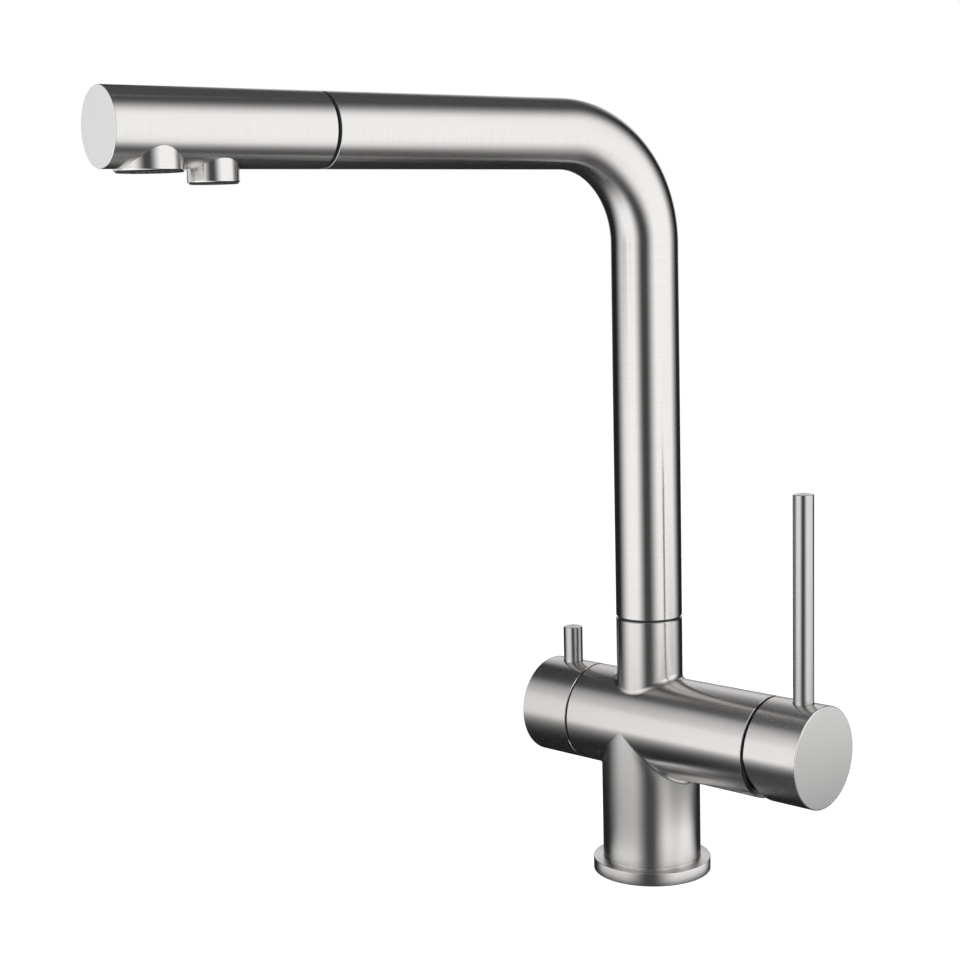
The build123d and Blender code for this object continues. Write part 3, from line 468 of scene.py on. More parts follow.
# Body shell. Column, cross tube and neck are one welded stainless shell, ground and brushed all
# over. The welds are dressed to small hollow fillets, and the open ends are chamfered at the seams.
tube_radius = 22.5 * mm
tube_bore = 20.5 * mm
neck_radius = 15.0 * mm
neck_bore = 13.4 * mm
weld_radius = 2.5 * mm
tube_height = 69.2 * mm
tube_left = -31.8 * mm
tube_right = 66.4 * mm
neck_top = 118.8 * mm
seam_edge = 0.35 * mm
faced_edge = 0.12 * mm
stop_height = 105.2 * mm
stop_hole_radius = 2.05 * mm
tube_mesh = (3.0 * mm, 0.9 * mm)
neck_mesh = (2.6 * mm, 0.7 * mm)
shell_steps = 128
column_rows = 8


def inside_loop(point, loop):
    """True if a point of the unrolled surface is inside a closed loop."""
    hit = False
    for (ax, ay), (bx, by) in zip(loop, loop[1:] + loop[:1]):
        if (ay > point[1]) != (by > point[1]) and point[0] < (bx - ax) * (point[1] - ay) / (by - ay) + ax:
            hit = not hit
    return hit


def places_between(start, end, count):
    """Even places from start to end, without the two."""
    return [start + (end - start) * k / count for k in range(1, count)]


def unrolled_sheet(skin, outline, holes, spacing, rolled_up):
    """Fills an unrolled outline with triangles, leaves its holes open, and rolls it up again."""
    points, sides = [], []
    for loop in [outline] + holes:
        first = len(points)
        points += [Vector(p) for p in loop]
        sides += [(first + i, first + (i + 1) % len(loop)) for i in range(len(loop))]
    border = list(points)
    low = [min(p[i] for p in outline) for i in (0, 1)]
    high = [max(p[i] for p in outline) for i in (0, 1)]
    columns, rows = (max(2, round((high[i] - low[i]) / spacing[i])) for i in (0, 1))
    clearance = 0.45 * min(spacing)

    def on_sheet(spot):
        return inside_loop(spot, outline) and not any(inside_loop(spot, hole) for hole in holes)

    for column in range(1, columns):
        for row in range(1, rows):
            spot = Vector((
                low[0] + (high[0] - low[0]) * column / columns,
                low[1] + (high[1] - low[1]) * (row + 0.5 * (column % 2)) / rows,
            ))
            if on_sheet(spot) and min((p - spot).length_squared for p in border) > clearance ** 2:
                points.append(spot)
    found, _, triangles, _, _, _ = geometry.delaunay_2d_cdt(points, sides, [], 0, 1e-9)
    for triangle in triangles:
        spots = [found[i] for i in triangle]
        if on_sheet(sum(spots, Vector((0, 0))) / 3):
            skin.face([rolled_up(*spot) for spot in spots])


def round_hole(middle, around, hole_radius, radius, steps):
    """Outline of a round hole in an unrolled tube: places along the tube and arcs round it."""
    spots = []
    for _, c, s in full_turn(steps)[:-1]:
        spots.append((middle + hole_radius * c, (around - math.asin(hole_radius * s / radius)) * radius))
    return spots


def hole_rim(hole, rolled_up, centre, axis):
    """Corners along a hole's edge, all of which face the hole's own axis."""
    rim = []
    for spot in hole + hole[:1]:
        place = rolled_up(*spot)[0]
        inward = centre - place
        inward -= axis * inward.dot(axis)
        rim.append((place, inward.normalized(), (place.dot(axis), 0.0)))
    return rim


def three_way_wall(skin, tube, neck, weld, left, right, top, foot, side):
    """One wall of the shell, side 1 outside and -1 in the bore. Returns the stop screw's hole."""
    reach, throat = tube + weld, neck + weld
    angles = [angle for angle, _, _ in full_turn(shell_steps)]

    def on_tube(x, arc):
        angle = arc / tube
        out = Vector((0, -math.cos(angle), math.sin(angle)))
        return Vector((x, 0, tube_height)) + out * tube, out * side, (x, arc)

    def on_column(angle, z):
        out = Vector((-math.sin(angle), -math.cos(angle), 0))
        return out * tube + Vector((0, 0, z)), out * side, (z, angle * tube)

    def on_neck(z, arc):
        angle = arc / neck
        out = Vector((math.cos(angle), math.sin(angle), 0))
        return out * neck + Vector((0, 0, z)), out * side, (z, arc)

    columns = []
    for angle in angles:
        tall = tube_height - reach * abs(math.sin(angle)) - foot
        columns.append([on_column(angle, foot + tall * row / column_rows) for row in range(column_rows + 1)])
    skin.band(columns, finish=1)

    quarter = shell_steps // 4
    low_right = [angles[k] - 2 * math.pi for k in range(3 * quarter, 4 * quarter + 1)]
    crease_front = [(-reach * math.sin(a), a * tube) for a in low_right]
    crease_back = [(-reach * math.sin(a), a * tube) for a in angles[2 * quarter:3 * quarter + 1]]
    around = [low_right[0] + a for a in angles]
    bottom, full = around[0] * tube, around[-1] * tube
    right_runs, left_runs = places_between(right, reach, 12), places_between(-reach, left, 3)
    outline = [(right, a * tube) for a in around]
    outline += [(x, full) for x in right_runs]
    outline += crease_back[::-1]
    outline += [(-x, arc) for x, arc in crease_back[1:]]
    outline += [(x, full) for x in left_runs]
    outline += [(left, a * tube) for a in around[::-1]]
    outline += [(x, bottom) for x in left_runs[::-1]]
    outline += [(-x, arc) for x, arc in crease_front]
    outline += crease_front[-2::-1]
    outline += [(x, bottom) for x in right_runs[::-1]]
    hole = []
    for angle in angles[:-1]:
        lean = math.acos(-throat * math.sin(angle) / reach)
        hole.append((throat * math.cos(angle), lean * tube))
    unrolled_sheet(skin, outline, [hole], tube_mesh, on_tube)

    from_front = [a - math.pi / 2 for a in angles]
    outline = [(tube_height + math.sqrt(reach ** 2 - (throat * math.sin(a)) ** 2), a * neck) for a in from_front]
    outline += [(top, a * neck) for a in from_front[::-1]]
    stop_hole = round_hole(stop_height, math.pi / 2, stop_hole_radius, neck, 32)
    unrolled_sheet(skin, outline, [stop_hole], neck_mesh, on_neck)
    return hole_rim(stop_hole, on_neck, Vector((0, 0, stop_height)), Vector((0, 1, 0)))


def weld_arc(centre, start, end, grain, grain_way, steps=6):
    """Corners across a hollow fillet, rolled by a ball from one contact to the other."""
    first, last = start - centre, end - centre
    angle = first.angle(last, 0.0)
    arc = []
    for step in range(steps + 1):
        spoke = first
        if angle > 1e-6:
            spoke = Matrix.Rotation(angle * step / steps, 3, first.cross(last)) @ first
        arc.append((centre + spoke, -spoke, (grain[0] + grain_way * step / 4, grain[1])))
    return arc


def dressed_welds(skin, tube, neck, weld):
    """The fillets round the neck's foot and along both creases between column and cross tube."""
    reach, throat = tube + weld, neck + weld
    arcs = []
    for angle, c, s in full_turn(shell_steps):
        rise = math.sqrt(reach ** 2 - (throat * s) ** 2)
        centre = Vector((c * throat, s * throat, tube_height + rise))
        start = Vector((c * neck, s * neck, tube_height + rise))
        end = Vector((centre.x, centre.y * tube / reach, tube_height + rise * tube / reach))
        arcs.append(weld_arc(centre, start, end, (tube_height + rise, angle * neck), -weld))
    skin.band(arcs)
    for way in (1, -1):
        arcs = []
        for angle, c, s in full_turn(shell_steps)[shell_steps // 2:]:
            crease = tube_height + reach * s
            centre = Vector((-way * reach * s, -reach * c, crease))
            start = Vector((-way * tube * s, -tube * c, crease))
            end = Vector((-way * reach * s, -tube * c, tube_height + tube * s))
            arcs.append(weld_arc(centre, start, end, (crease, way * angle * tube), weld))
        skin.band(arcs)


def open_end(skin, stand, radius, bore, edge, steps):
    """Chamfer and flat rim that join the outside of an open end to its bore."""
    slant, level = (1, 1), (0, 1)
    rings = [spun_ring(stand, steps, point, normal, point[0], radius) for point, normal in (
        ((radius, -edge), slant), ((radius - edge, 0), slant), ((radius - edge, 0), level), ((bore, 0), level),
    )]
    skin.band(rings[:2], edge=1.0)
    skin.band(rings[2:])


body_steel = brushed_steel("body_steel", steel_tone, 0.26, 0.92)
# The column band gets a lighter, rougher copy of the body steel: painted light, which brightens the column's dim
# reflections near the foot.
lightened_column_steel = brushed_steel("lightened_column_steel", (0.69, 0.68, 0.671), 0.36, 1.0)
shell = Skin()
outer_rim = three_way_wall(
    shell, tube_radius, neck_radius, weld_radius, tube_left + seam_edge, tube_right - faced_edge,
    neck_top - seam_edge, column_foot + seam_edge, 1,
)
dressed_welds(shell, tube_radius, neck_radius, weld_radius)
inner_rim = three_way_wall(shell, tube_bore, neck_bore, 0.0, tube_left, tube_right, neck_top, column_foot, -1)
shell.band([outer_rim, inner_rim])
to_right = Matrix.Translation((tube_right, 0, tube_height)) @ Matrix.Rotation(math.pi / 2, 4, "Y")
to_left = Matrix.Translation((tube_left, 0, tube_height)) @ Matrix.Rotation(-math.pi / 2, 4, "Y")
to_top = Matrix.Translation((0, 0, neck_top))
to_foot = Matrix.Translation((0, 0, column_foot)) @ Matrix.Rotation(math.pi, 4, "X")
open_end(shell, to_right, tube_radius, tube_bore, faced_edge, shell_steps)
open_end(shell, to_left, tube_radius, tube_bore, seam_edge, shell_steps)
open_end(shell, to_top, neck_radius, neck_bore, seam_edge, shell_steps)
open_end(shell, to_foot, tube_radius, tube_bore, seam_edge, shell_steps)
shell = shell.build("welded_body", body_steel, lightened_column_steel)
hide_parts("body_shell")
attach(shell, "tap_body")

# Spout tube. Riser, bend and arm are one stainless tube, bent on a mandrel and brushed round. Both
# ends are faced and chamfered, and it stands turned a little on the neck, as it was left in use.
riser_foot = 119.7 * mm
spout_radius = 15.0 * mm
spout_bore = 13.7 * mm
arm_height = 335.1 * mm
bend_radius = 47.0 * mm
arm_end = 164.7 * mm
square_edge = 0.1 * mm
spout_steps = 112
bend_steps = 40
riser_grain_middle = 200.0 * mm
rest_angle = math.radians(-10.3)
spout_turn = Matrix.Rotation(rest_angle, 4, "Z")
arm_axis = Matrix.Rotation(math.pi / 2, 4, "X")


def bent_wall(skin, radius, low, reach, side):
    """One wall of the bent tube, ring by ring along its centre line."""
    bend_start = arm_height - bend_radius
    riser_middle = Vector((0, 0, (low + bend_start) / 2))
    stations = [(Vector((0, 0, low)), 0.0, low), (riser_middle, 0.0, riser_grain_middle)]
    for step in range(bend_steps + 1):
        bend = math.pi / 2 * step / bend_steps
        middle = Vector((0, -bend_radius * (1 - math.cos(bend)), bend_start + bend_radius * math.sin(bend)))
        stations.append((middle, bend, bend_start + bend_radius * bend))
    stations.append((Vector((0, -reach, arm_height)), math.pi / 2, arm_height + reach))
    rings = []
    for middle, bend, run in stations:
        stand = spout_turn @ Matrix.Translation(middle) @ Matrix.Rotation(bend, 4, "X")
        rings.append(spun_ring(stand, spout_steps, (radius, 0), (side, 0), run, radius))
    skin.band(rings)


spout_steel = brushed_steel("spout_steel", steel_tone, 0.22, 0.92)
riser_way = Matrix.Translation((0, 0, riser_foot)) @ Matrix.Rotation(math.pi, 4, "X")
arm_way = spout_turn @ Matrix.Translation((0, -arm_end, arm_height)) @ arm_axis
spout = Skin()
bent_wall(spout, spout_radius, riser_foot + seam_edge, arm_end - square_edge, 1)
bent_wall(spout, spout_bore, riser_foot, arm_end, -1)
open_end(spout, riser_way, spout_radius, spout_bore, seam_edge, spout_steps)
open_end(spout, arm_way, spout_radius, spout_bore, square_edge, spout_steps)
spout = spout.build("bent_spout", spout_steel)
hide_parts("spout_tube")
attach(spout, "spout")

# Dark ring in the end of the arm. A black ring stands in the arm's end, where the head docks. It is
# painted shade: a dark part put in the seam, where there is only shade, and it shows as the thin dark line round the
# spout.
ring_outside = 14.6 * mm
ring_inside = 12.15 * mm
ring_end = 165.4 * mm
ring_outer_edge, ring_inner_edge = 0.15 * mm, 0.1 * mm


def moulded(name, tone, roughness, grain_scale, depth=0.1, spread=0.12, shine=0.5):
    """Moulded plastic or rubber: an even colour with faint mottling and a fine skin."""
    recipe = Recipe(bpy.data.materials.new(name))
    own = recipe.own_place()
    fine = recipe.noise(own, grain_scale, 3.0)
    wide = recipe.noise(own, grain_scale / 12, 2.0)
    return recipe.cover(recipe.node("ShaderNodeBsdfPrincipled", {
        "Base Color": recipe.blend(wide, shade_of(tone, 1 - spread), shade_of(tone, 1 + spread)),
        "Roughness": recipe.sum("MULTIPLY_ADD", fine, 0.18, roughness - 0.09),
        "Normal": recipe.bump(fine, depth, 0.1 * mm), "Specular IOR Level": shine,
    }))


black_rubber = moulded("black_rubber", (0.016, 0.016, 0.017), 0.65, 1800, 0.2, shine=0.2)
seam_shade_ring = Skin()
turn_on_lathe(seam_shade_ring, [
    (ring_inside, 0, 0, 0), (ring_outside, 0, 0, 0), (ring_outside, ring_end - arm_end, ring_outer_edge, 0),
    (ring_inside, ring_end - arm_end, ring_inner_edge, 0),
], spout_steps, arm_way, spout_radius)
seam_shade_ring = seam_shade_ring.build("arm_end_ring", black_rubber)
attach(seam_shade_ring, "spout")

# Pull-out head. Its shell is a length of the same tube with two bored outlets underneath, and the
# flat end is a disc that is welded in and ground flush, with a fine rounded edge painted lighter as a highlight.
head_start = 166.1 * mm
head_tip = 258.2 * mm
end_disc = 1.6 * mm
head_bore = 13.6 * mm
front_outlet = (238.8 * mm, 13.2 * mm)
rear_outlet = (212.7 * mm, 9.9 * mm)
fit_gap = 0.05 * mm
head_mesh = (3.0 * mm, 0.8 * mm)
outlet_steps = 72
head_runs = 36


def head_wall(skin, radius, start, end, side):
    """One wall of the head with both outlet holes. Arcs run round from the top."""
    swing = spout_turn.to_3x3()

    def on_head(reach, arc):
        angle = arc / radius
        out = Vector((math.sin(angle), 0, math.cos(angle)))
        place = spout_turn @ (Vector((0, -reach, arm_height)) + out * radius)
        return place, (swing @ out) * side, (arm_height + reach, arc)

    arcs = [angle * radius for angle, _, _ in full_turn(spout_steps)]
    reaches = places_between(start, end, head_runs)
    outline = [(start, arc) for arc in arcs] + [(reach, arcs[-1]) for reach in reaches]
    outline += [(end, arc) for arc in arcs[::-1]] + [(reach, 0.0) for reach in reaches[::-1]]
    holes, rims = [], []
    for place, outlet in (front_outlet, rear_outlet):
        hole = round_hole(place, math.pi, outlet + fit_gap, radius, outlet_steps)
        holes.append(hole)
        rims.append(hole_rim(hole, on_head, spout_turn @ Vector((0, -place, arm_height)), Vector((0, 0, 1))))
    unrolled_sheet(skin, outline, holes, head_mesh, on_head)
    return rims


head = Skin()
outer_rims = head_wall(head, spout_radius, head_start + seam_edge, head_tip - end_disc, 1)
inner_rims = head_wall(head, head_bore, head_start, head_tip - end_disc, -1)
for outer_rim, inner_rim in zip(outer_rims, inner_rims):
    head.band([outer_rim, inner_rim])
back_way = spout_turn @ Matrix.Translation((0, -head_start, arm_height)) @ arm_axis.inverted()
front_way = spout_turn @ Matrix.Translation((0, end_disc - head_tip, arm_height)) @ arm_axis
open_end(head, back_way, spout_radius, head_bore, seam_edge, spout_steps)
open_end(head, front_way, spout_radius, head_bore, 0.0, spout_steps)
head = head.build("head_tube", spout_steel)
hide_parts("head_shell")
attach(head, "pullout_head")

satin_steel = brushed_steel("satin_steel", (0.79, 0.79, 0.785), 0.45, 0.0, 0.02)
disc = Skin()
turn_on_lathe(disc, [
    (0, 0, 0, 0), (spout_radius, 0, 0, 0), (spout_radius, end_disc, fine_edge, 1), (0, end_disc, 0, 0),
], spout_steps, front_way, spout_radius)
disc = disc.build("head_end_disc", spout_steel, satin_steel)
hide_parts("head_end_cap")
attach(disc, "pullout_head")

# Outlet sleeves. Two short stainless sleeves stand in the head's holes, the wide one for mixed
# water and the narrow one for filtered water. Their lower rims are rounded over the inserts.
sleeve_wall = 1.5 * mm
rim_lift = 0.55 * mm
rim_inner_edge, rim_outer_edge = 0.4 * mm, 0.6 * mm
sleeve_steps = 96
outlets = (
    ("front", front_outlet, 318.8 * mm, 331.15 * mm),
    ("rear", rear_outlet, 314.5 * mm, 324.65 * mm),
)
for name, (place, radius), low, high in outlets:
    sleeve = Skin()
    turn_on_lathe(sleeve, [
        (radius - sleeve_wall, low + rim_lift, rim_inner_edge, 0), (radius, low + rim_lift, rim_outer_edge, 0),
        (radius, high, 0, 0), (radius - sleeve_wall, high, 0, 0),
    ], sleeve_steps, spout_turn @ Matrix.Translation((0, -place, 0)), radius)
    sleeve = sleeve.build(name + "_sleeve", spout_steel)
    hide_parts(name + "_nozzle")
    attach(sleeve, "pullout_head")

# Outlet inserts. Each is a dark moulded cup with soft hollow nipples in rings, which can be rubbed
# clean of scale. It is screwed up into its sleeve and stands just proud of the steel rim.
insert_length = 8.0 * mm
insert_gap = 0.05 * mm
mouth_depth = 1.0 * mm
mouth_slope = 0.3 * mm
mouth_wall = 0.7 * mm
collar_gap = 0.7 * mm
collar_low, collar_high, collar_top = 0.05 * mm, 0.5 * mm, 0.6 * mm
root_edge, soft_edge, tail_edge = 0.1 * mm, 0.15 * mm, 0.2 * mm
insert_steps = 72
nipple_radius = 0.85 * mm
nipple_bore = 0.45 * mm
nipple_height = 1.0 * mm
nipple_root = 0.1 * mm
nipple_mouth_edge = 0.12 * mm
nipple_taper = 0.8
nipple_steps = 14
nipple_margin = 2.6 * mm
dark_plastic = moulded("dark_plastic", (0.024, 0.024, 0.026), 0.5, 2600, shine=0.25)
soft_grey = moulded("soft_grey_rubber", (0.09, 0.09, 0.095), 0.6, 2200, 0.1, shine=0.3)
nipple = Skin()
turn_on_lathe(nipple, [
    (nipple_bore, -nipple_height, nipple_mouth_edge, 0),
    (nipple_radius * nipple_taper, -nipple_height, soft_edge, 0),
    (nipple_radius, nipple_root, 0, 0), (nipple_bore, nipple_root, 0, 0),
], nipple_steps, Matrix.Identity(4), nipple_radius)
nipple = nipple.build("soft_nipple", soft_grey, exact=False)


def nipple_rings():
    """Node tree that sets nipples on a cup: one in the middle, six round it and twelve round those."""
    tree = bpy.data.node_groups.new("nipple_rings", "GeometryNodeTree")
    recipe = Recipe(tree)
    wanted = (
        ("Cup", "Geometry"), ("Nipple", "Object"), ("Material", "Material"), ("Ring Step", "Float"),
        ("Inner Count", "Int"), ("Outer Count", "Int"), ("Face Middle", "Vector"), ("Turn", "Float"),
    )
    for title, kind in wanted:
        tree.interface.new_socket(title, in_out="INPUT", socket_type="NodeSocket" + kind)
    tree.interface.new_socket("Insert", in_out="OUTPUT", socket_type="NodeSocketGeometry")
    given = tree.nodes.new("NodeGroupInput").outputs

    def add(kind, inputs, **settings):
        return recipe.node(kind, inputs, **settings).outputs[0]

    def join(*parts):
        both = tree.nodes.new("GeometryNodeJoinGeometry")
        for part in parts:
            tree.links.new(part, both.inputs[0])
        return both.outputs[0]

    outer_radius = add("ShaderNodeMath", {0: given["Ring Step"], 1: 2.0}, operation="MULTIPLY")
    spots = join(
        add("GeometryNodeMeshLine", {"Count": 1}),
        add("GeometryNodeMeshCircle", {"Vertices": given["Inner Count"], "Radius": given["Ring Step"]}),
        add("GeometryNodeMeshCircle", {"Vertices": given["Outer Count"], "Radius": outer_radius}),
    )
    one = recipe.node("GeometryNodeObjectInfo", {"Object": given["Nipple"]}).outputs["Geometry"]
    set_out = add("GeometryNodeInstanceOnPoints", {"Points": spots, "Instance": one})
    swung = add("ShaderNodeCombineXYZ", {"Z": given["Turn"]})
    put = add("GeometryNodeTransform", {"Geometry": set_out, "Translation": given["Face Middle"], "Rotation": swung})
    real = add("GeometryNodeRealizeInstances", {"Geometry": put})
    coloured = add("GeometryNodeSetMaterial", {"Geometry": real, "Material": given["Material"]})
    out = tree.nodes.new("NodeGroupOutput")
    tree.links.new(join(given["Cup"], coloured), out.inputs["Insert"])
    return tree


nipples = nipple_rings()
for name, (place, radius), low, high in outlets:
    cup_radius = radius - collar_gap
    body_radius = radius - sleeve_wall - insert_gap
    face = low + mouth_depth
    tail = low + insert_length
    stand = spout_turn @ Matrix.Translation((0, -place, 0))
    cup = Skin()
    turn_on_lathe(cup, [
        (0, face, 0, 0), (body_radius - mouth_wall - mouth_slope, face, root_edge, 0),
        (body_radius - mouth_wall, low + collar_low, soft_edge, 0),
        (cup_radius, low + collar_low, soft_edge, 0), (cup_radius, low + collar_high, 0, 0),
        (body_radius, low + collar_top, 0, 0), (body_radius, tail, tail_edge, 0), (0, tail, 0, 0),
    ], insert_steps, stand, radius)
    cup = cup.build(name + "_insert", dark_plastic, exact=False)
    setting = cup.modifiers.new("nipples", "NODES")
    setting.node_group = nipples
    values = {
        "Nipple": nipple, "Material": soft_grey, "Ring Step": (body_radius - nipple_margin) / 2,
        "Inner Count": 6, "Outer Count": 12, "Face Middle": tuple(stand @ Vector((0, 0, face))),
        "Turn": rest_angle,
    }
    for socket in nipples.interface.items_tree:
        if socket.item_type == "SOCKET" and socket.in_out == "INPUT" and socket.name in values:
            setting[socket.identifier] = values[socket.name]
    bpy.context.view_layer.update()
    seen_cup = cup.evaluated_get(bpy.context.evaluated_depsgraph_get())
    finished = bpy.data.meshes.new_from_object(seen_cup)
    cup.modifiers.remove(setting)
    cup.data = finished
    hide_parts(name + "_aerator")
    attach(cup, "pullout_head")
bpy.data.objects.remove(nipple)

# Mixer cap and filter knob. Both are turned and bored from stainless bar, brushed round, with a
# satin face. The cap's lower rim is cut back on a slant, which lets it tilt over the dome.
cap_rim = 67.8 * mm
cap_face = 94.0 * mm
cap_wall = 2.0 * mm
cap_end_wall = 2.5 * mm
cap_relief = 6.0 * mm
knob_rim = 32.6 * mm
knob_face = 59.0 * mm
face_edge = 0.5 * mm
rim_edge = 0.25 * mm
lever_hole = 4.75 * mm
screw_hole = 2.55 * mm
mixer_lever_place = 83.6 * mm
filter_lever_place = 46.2 * mm
drum_runs = 10
drum_hole_steps = 48
face_arc_steps = 5


def bored_drum(skin, way, rim, face, relief, lever_place):
    """A bored drum on the cross tube's axis. Its rim is at one end, its flat face at the other."""
    angles = [angle for angle, _, _ in full_turn(shell_steps, math.pi)]
    front, back = Vector((way, 0, 0)), Vector((-way, 0, 0))
    lever_centre = Vector((way * lever_place, 0, tube_height))
    rims, shoulders, hole_rims = [], [], []
    for radius, start, end, side in (
        (tube_radius, rim + rim_edge, face - face_edge, 1),
        (tube_radius - cap_wall, rim, face - cap_end_wall, -1),
    ):
        def on_drum(x, arc, radius=radius, side=side):
            angle = arc / radius
            out = Vector((0, -math.cos(angle), math.sin(angle)))
            return Vector((way * x, 0, tube_height)) + out * radius, out * side, (x, arc)

        cut_back = [relief * max(0.0, -math.sin(a)) * radius / tube_radius for a in angles]
        near = [(start + cut, a * radius) for cut, a in zip(cut_back, angles)]
        far = [(end, a * radius) for a in angles]
        runs = places_between(start, end, drum_runs)
        outline = near + [(x, far[-1][1]) for x in runs] + far[::-1] + [(x, far[0][1]) for x in runs[::-1]]
        holes = [
            round_hole(lever_place, math.pi / 2 * quarters, hole_radius, radius, drum_hole_steps)
            for hole_radius, quarters in ((lever_hole, 5), (screw_hole, 3))
        ]
        unrolled_sheet(skin, outline, holes, tube_mesh, on_drum)
        rims.append([on_drum(*spot) for spot in near])
        shoulders.append([on_drum(*spot) for spot in far])
        hole_rims.append([hole_rim(hole, on_drum, lever_centre, Vector((0, 0, 1))) for hole in holes])

    lip = [(place - (normal + front) * rim_edge, normal, grain) for place, normal, grain in rims[0]]
    skin.band([[(p, n + back, g) for p, n, g in ring] for ring in (rims[0], lip)], edge=1.0)
    skin.band([[(p, back, g) for p, _, g in ring] for ring in (lip, rims[1])])
    rings = []
    for step in range(face_arc_steps + 1):
        bend = math.pi / 2 * step / face_arc_steps
        ring = []
        for place, normal, grain in shoulders[0]:
            spoke = normal * math.cos(bend) + front * math.sin(bend)
            ring.append((place + (spoke - normal) * face_edge, spoke, grain))
        rings.append(ring)
    skin.band(rings, edge=1.0)
    for ring, reach, normal, finish in ((rings[-1], face, front, 1), (shoulders[1], face - cap_end_wall, back, 0)):
        centre = (Vector((way * reach, 0, tube_height)), normal, (0.0, 0.0))
        for (a, _, grain_a), (b, _, grain_b) in zip(ring, ring[1:]):
            skin.face([(a, normal, grain_a), (b, normal, grain_b), centre], finish)
    for outer_hole, inner_hole in zip(*hole_rims):
        skin.band([outer_hole, inner_hole])


cap_steel = brushed_steel("cap_steel", steel_tone, 0.27, 0.88)
for name, node, body, way, rim, face, relief, lever_place in (
    ("mixer_cap_turned", "mixer_cap", "mixer_handle", 1, cap_rim, cap_face, cap_relief, mixer_lever_place),
    ("filter_knob_turned", "filter_knob", "filter_handle", -1, knob_rim, knob_face, 0.0, filter_lever_place),
):
    drum = Skin()
    bored_drum(drum, way, rim, face, relief, lever_place)
    drum = drum.build(name, cap_steel, satin_steel)
    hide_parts(node)
    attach(drum, body)

# Levers. Both are 9 mm stainless rod, brushed round, chamfered at the top and screwed into the
# boss inside the cap or knob with a thin dark gap round the foot.
lever_radius = 4.5 * mm
lever_edge = 0.45 * mm
tail_radius = 2.5 * mm
mixer_foot, mixer_top, mixer_tail = 77.2 * mm, 181.9 * mm, 3.4 * mm
filter_foot, filter_top, filter_tail = 76.2 * mm, 108.2 * mm, 2.6 * mm
lever_steps = 64
# The levers get a darker copy of the steel: painted shade, which dims their highlights.
darkened_lever_steel = brushed_steel("darkened_lever_steel", (0.50, 0.495, 0.492), 0.24, 0.9)
for name, node, body, place, foot, top, tail in (
    ("mixer_rod", "mixer_lever", "mixer_handle", mixer_lever_place, mixer_foot, mixer_top, mixer_tail),
    ("filter_rod", "filter_lever", "filter_handle", -filter_lever_place, filter_foot, filter_top, filter_tail),
):
    rod = Skin()
    turn_on_lathe(rod, [
        (0, foot - tail, 0, 0), (tail_radius, foot - tail, 0, 0), (tail_radius, foot, 0, 0),
        (lever_radius, foot, 0, 0), (lever_radius, top, lever_edge, 0), (0, top, 0, 0),
    ], lever_steps, Matrix.Translation((place, 0, 0)), lever_radius)
    rod = rod.build(name, darkened_lever_steel)
    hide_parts(node)
    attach(rod, body)

# Stem dome. A polished pressed dome with a narrow foot flange covers the cartridge's nut and
# stem. It is held by the nut and shows in the gap under the cap.
dome_radius = 20.1 * mm
dome_wall = 1.2 * mm
dome_centre = 62.0 * mm
dome_foot = 64.4 * mm
dome_mouth = 75.0 * mm
foot_inside, foot_outside = 19.0 * mm, 20.4 * mm
foot_depth = 0.5 * mm
dome_steps = 12
polished = brushed_steel("polished_steel", (0.60, 0.60, 0.60), 0.16, 0.2, 0.05)
dome = Skin()
turn_on_lathe(dome, [
    (foot_inside, dome_foot, 0, 0), (foot_outside, dome_foot, 0, 0),
    (foot_outside, dome_foot + foot_depth, soft_edge, 0), (foot_inside, dome_foot + foot_depth, 0, 0),
], shell_steps, Matrix.Translation((0, 0, tube_height)) @ Matrix.Rotation(math.pi / 2, 4, "Y"), dome_radius)
lying = Matrix.Rotation(math.pi / 2, 4, "Y") @ Matrix.Rotation(math.pi / 2, 4, "Z")
dome_stand = Matrix.Translation((dome_centre, 0, tube_height)) @ lying
walls = []
for radius, side in ((dome_radius, 1), (dome_radius - dome_wall, -1)):
    wall = []
    for step in range(dome_steps + 1):
        x = dome_foot - dome_centre + (dome_mouth - dome_foot) * step / dome_steps
        r = math.sqrt(radius ** 2 - x ** 2)
        wall.append(spun_ring(dome_stand, shell_steps, (r, x), (side * r, side * x), x, dome_radius))
    dome.band(wall)
    walls.append(wall)
for end, way in ((0, -1), (-1, 1)):
    dome.band([[(place, Vector((way, 0, 0)), grain) for place, _, grain in wall[end]] for wall in walls])
dome = dome.build("stem_dome", polished)
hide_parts("cartridge_shroud")
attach(dome, "tap_body")

# Seam ring. A dark moulded slip ring lies on the neck, turned down a little inside the steel. The
# riser runs on it, and it fills the seam in which the spout turns.
slip_inside, slip_outside = 12.46 * mm, 14.2 * mm
slip_top = 119.65 * mm
ring = Skin()
turn_on_lathe(ring, [
    (slip_inside, neck_top, 0, 0), (slip_outside, neck_top, root_edge, 0),
    (slip_outside, slip_top, root_edge, 0), (slip_inside, slip_top, 0, 0),
], sleeve_steps, Matrix.Identity(4), slip_outside)
ring = ring.build("seam_ring", dark_plastic)
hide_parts("slip_ring")
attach(ring, "tap_body")

# Everything inside keeps its machined form and gets the finish of its own stuff: turned brass,
# drawn copper, lapped ceramic, moulded plastic, rubber, polished steel and hose.


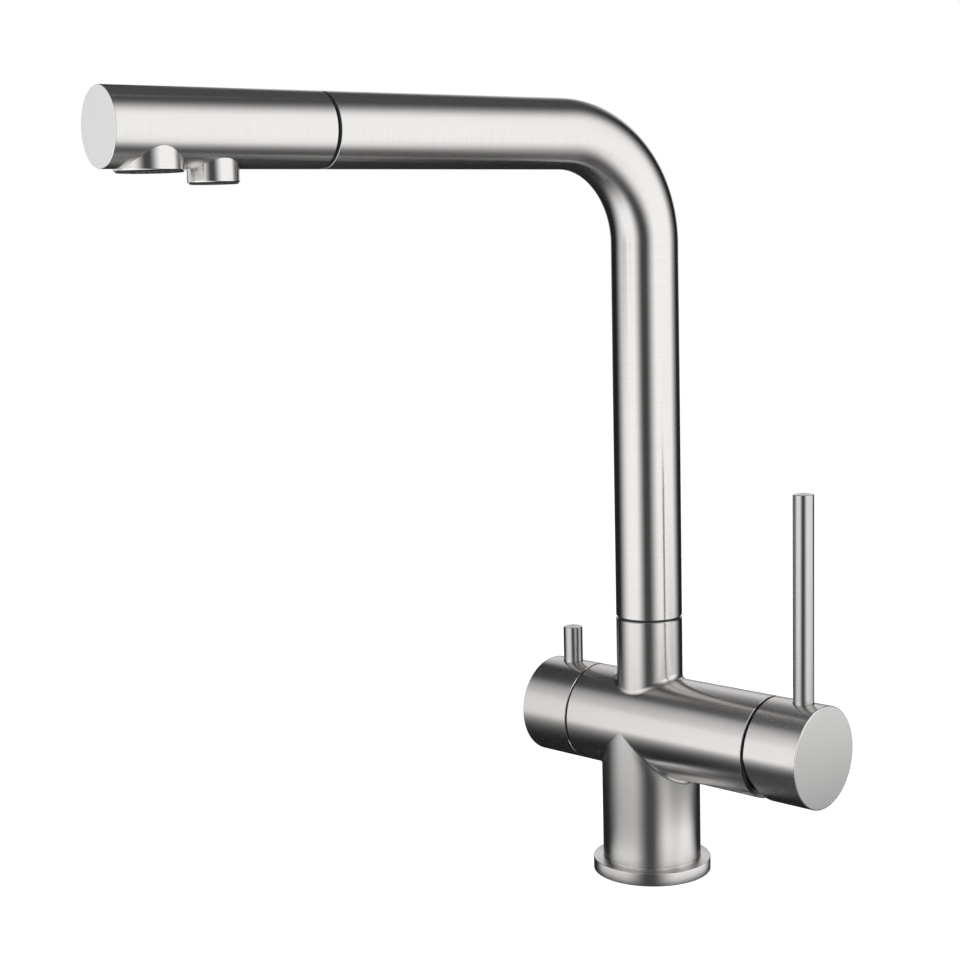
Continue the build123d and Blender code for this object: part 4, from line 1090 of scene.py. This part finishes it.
def turned_metal(name, tone, roughness, cut_scale):
    """Bare turned or drawn metal with fine tool marks and a little staining."""
    recipe = Recipe(bpy.data.materials.new(name))
    own = recipe.own_place()
    cuts = {"Vector": own, "Scale": cut_scale, "Distortion": 1.5, "Detail": 2.0}
    marks = recipe.node("ShaderNodeTexWave", cuts, wave_type="RINGS").outputs[1]
    stain = recipe.noise(own, 90.0, 4.0)
    return recipe.cover(recipe.node("ShaderNodeBsdfPrincipled", {
        "Base Color": recipe.blend(recipe.soft_step(stain, 0.35, 0.75), shade_of(tone, 1), shade_of(tone, 0.78)),
        "Metallic": 1.0, "Roughness": recipe.sum("MULTIPLY_ADD", stain, 0.2, roughness - 0.08),
        "Normal": recipe.bump(marks, 0.12, 0.03 * mm),
    }))


def braided(name, dark_tone, light_tone):
    """Woven sleeve: two crossing sets of strands."""
    recipe = Recipe(bpy.data.materials.new(name))
    own = recipe.own_place()
    strands = []
    for lean in (0.7, -0.7):
        turned = recipe.node("ShaderNodeMapping", {"Vector": own, "Rotation": (lean, lean, 0)}).outputs[0]
        strands.append(recipe.node("ShaderNodeTexWave", {"Vector": turned, "Scale": 260.0}).outputs[1])
    weave = recipe.sum("MULTIPLY", *strands)
    return recipe.cover(recipe.node("ShaderNodeBsdfPrincipled", {
        "Base Color": recipe.blend(weave, shade_of(dark_tone, 1), shade_of(light_tone, 1)),
        "Roughness": recipe.sum("MULTIPLY_ADD", weave, -0.2, 0.7),
        "Normal": recipe.bump(weave, 0.5, 0.3 * mm),
    }))


inner_finishes = {
    "brass": turned_metal("turned_brass", (0.72, 0.56, 0.27), 0.3, 900),
    "copper": turned_metal("drawn_copper", (0.72, 0.43, 0.29), 0.28, 500),
    "bright_steel": turned_metal("bright_steel", (0.62, 0.62, 0.61), 0.2, 1200),
    "black_rubber": black_rubber,
    "ceramic": moulded("lapped_ceramic", (0.84, 0.83, 0.80), 0.24, 3000, 0.03, 0.03),
    "white_plastic": moulded("white_plastic", (0.78, 0.78, 0.75), 0.45, 2400, 0.08, 0.04),
    "dark_plastic": dark_plastic,
    "hose_braid": braided("grey_braid", (0.10, 0.10, 0.105), (0.45, 0.45, 0.46)),
    "hose_plain": moulded("plain_hose", (0.74, 0.74, 0.74), 0.5, 1200, 0.08, 0.05),
}
for part in frame["record"]["subparts"]:
    node = frame["nodes"][part["node"]]
    finish = inner_finishes.get(part["material_slot"])
    if finish is None or node.hide_render:
        continue
    for slot in node.material_slots:
        slot.material = finish
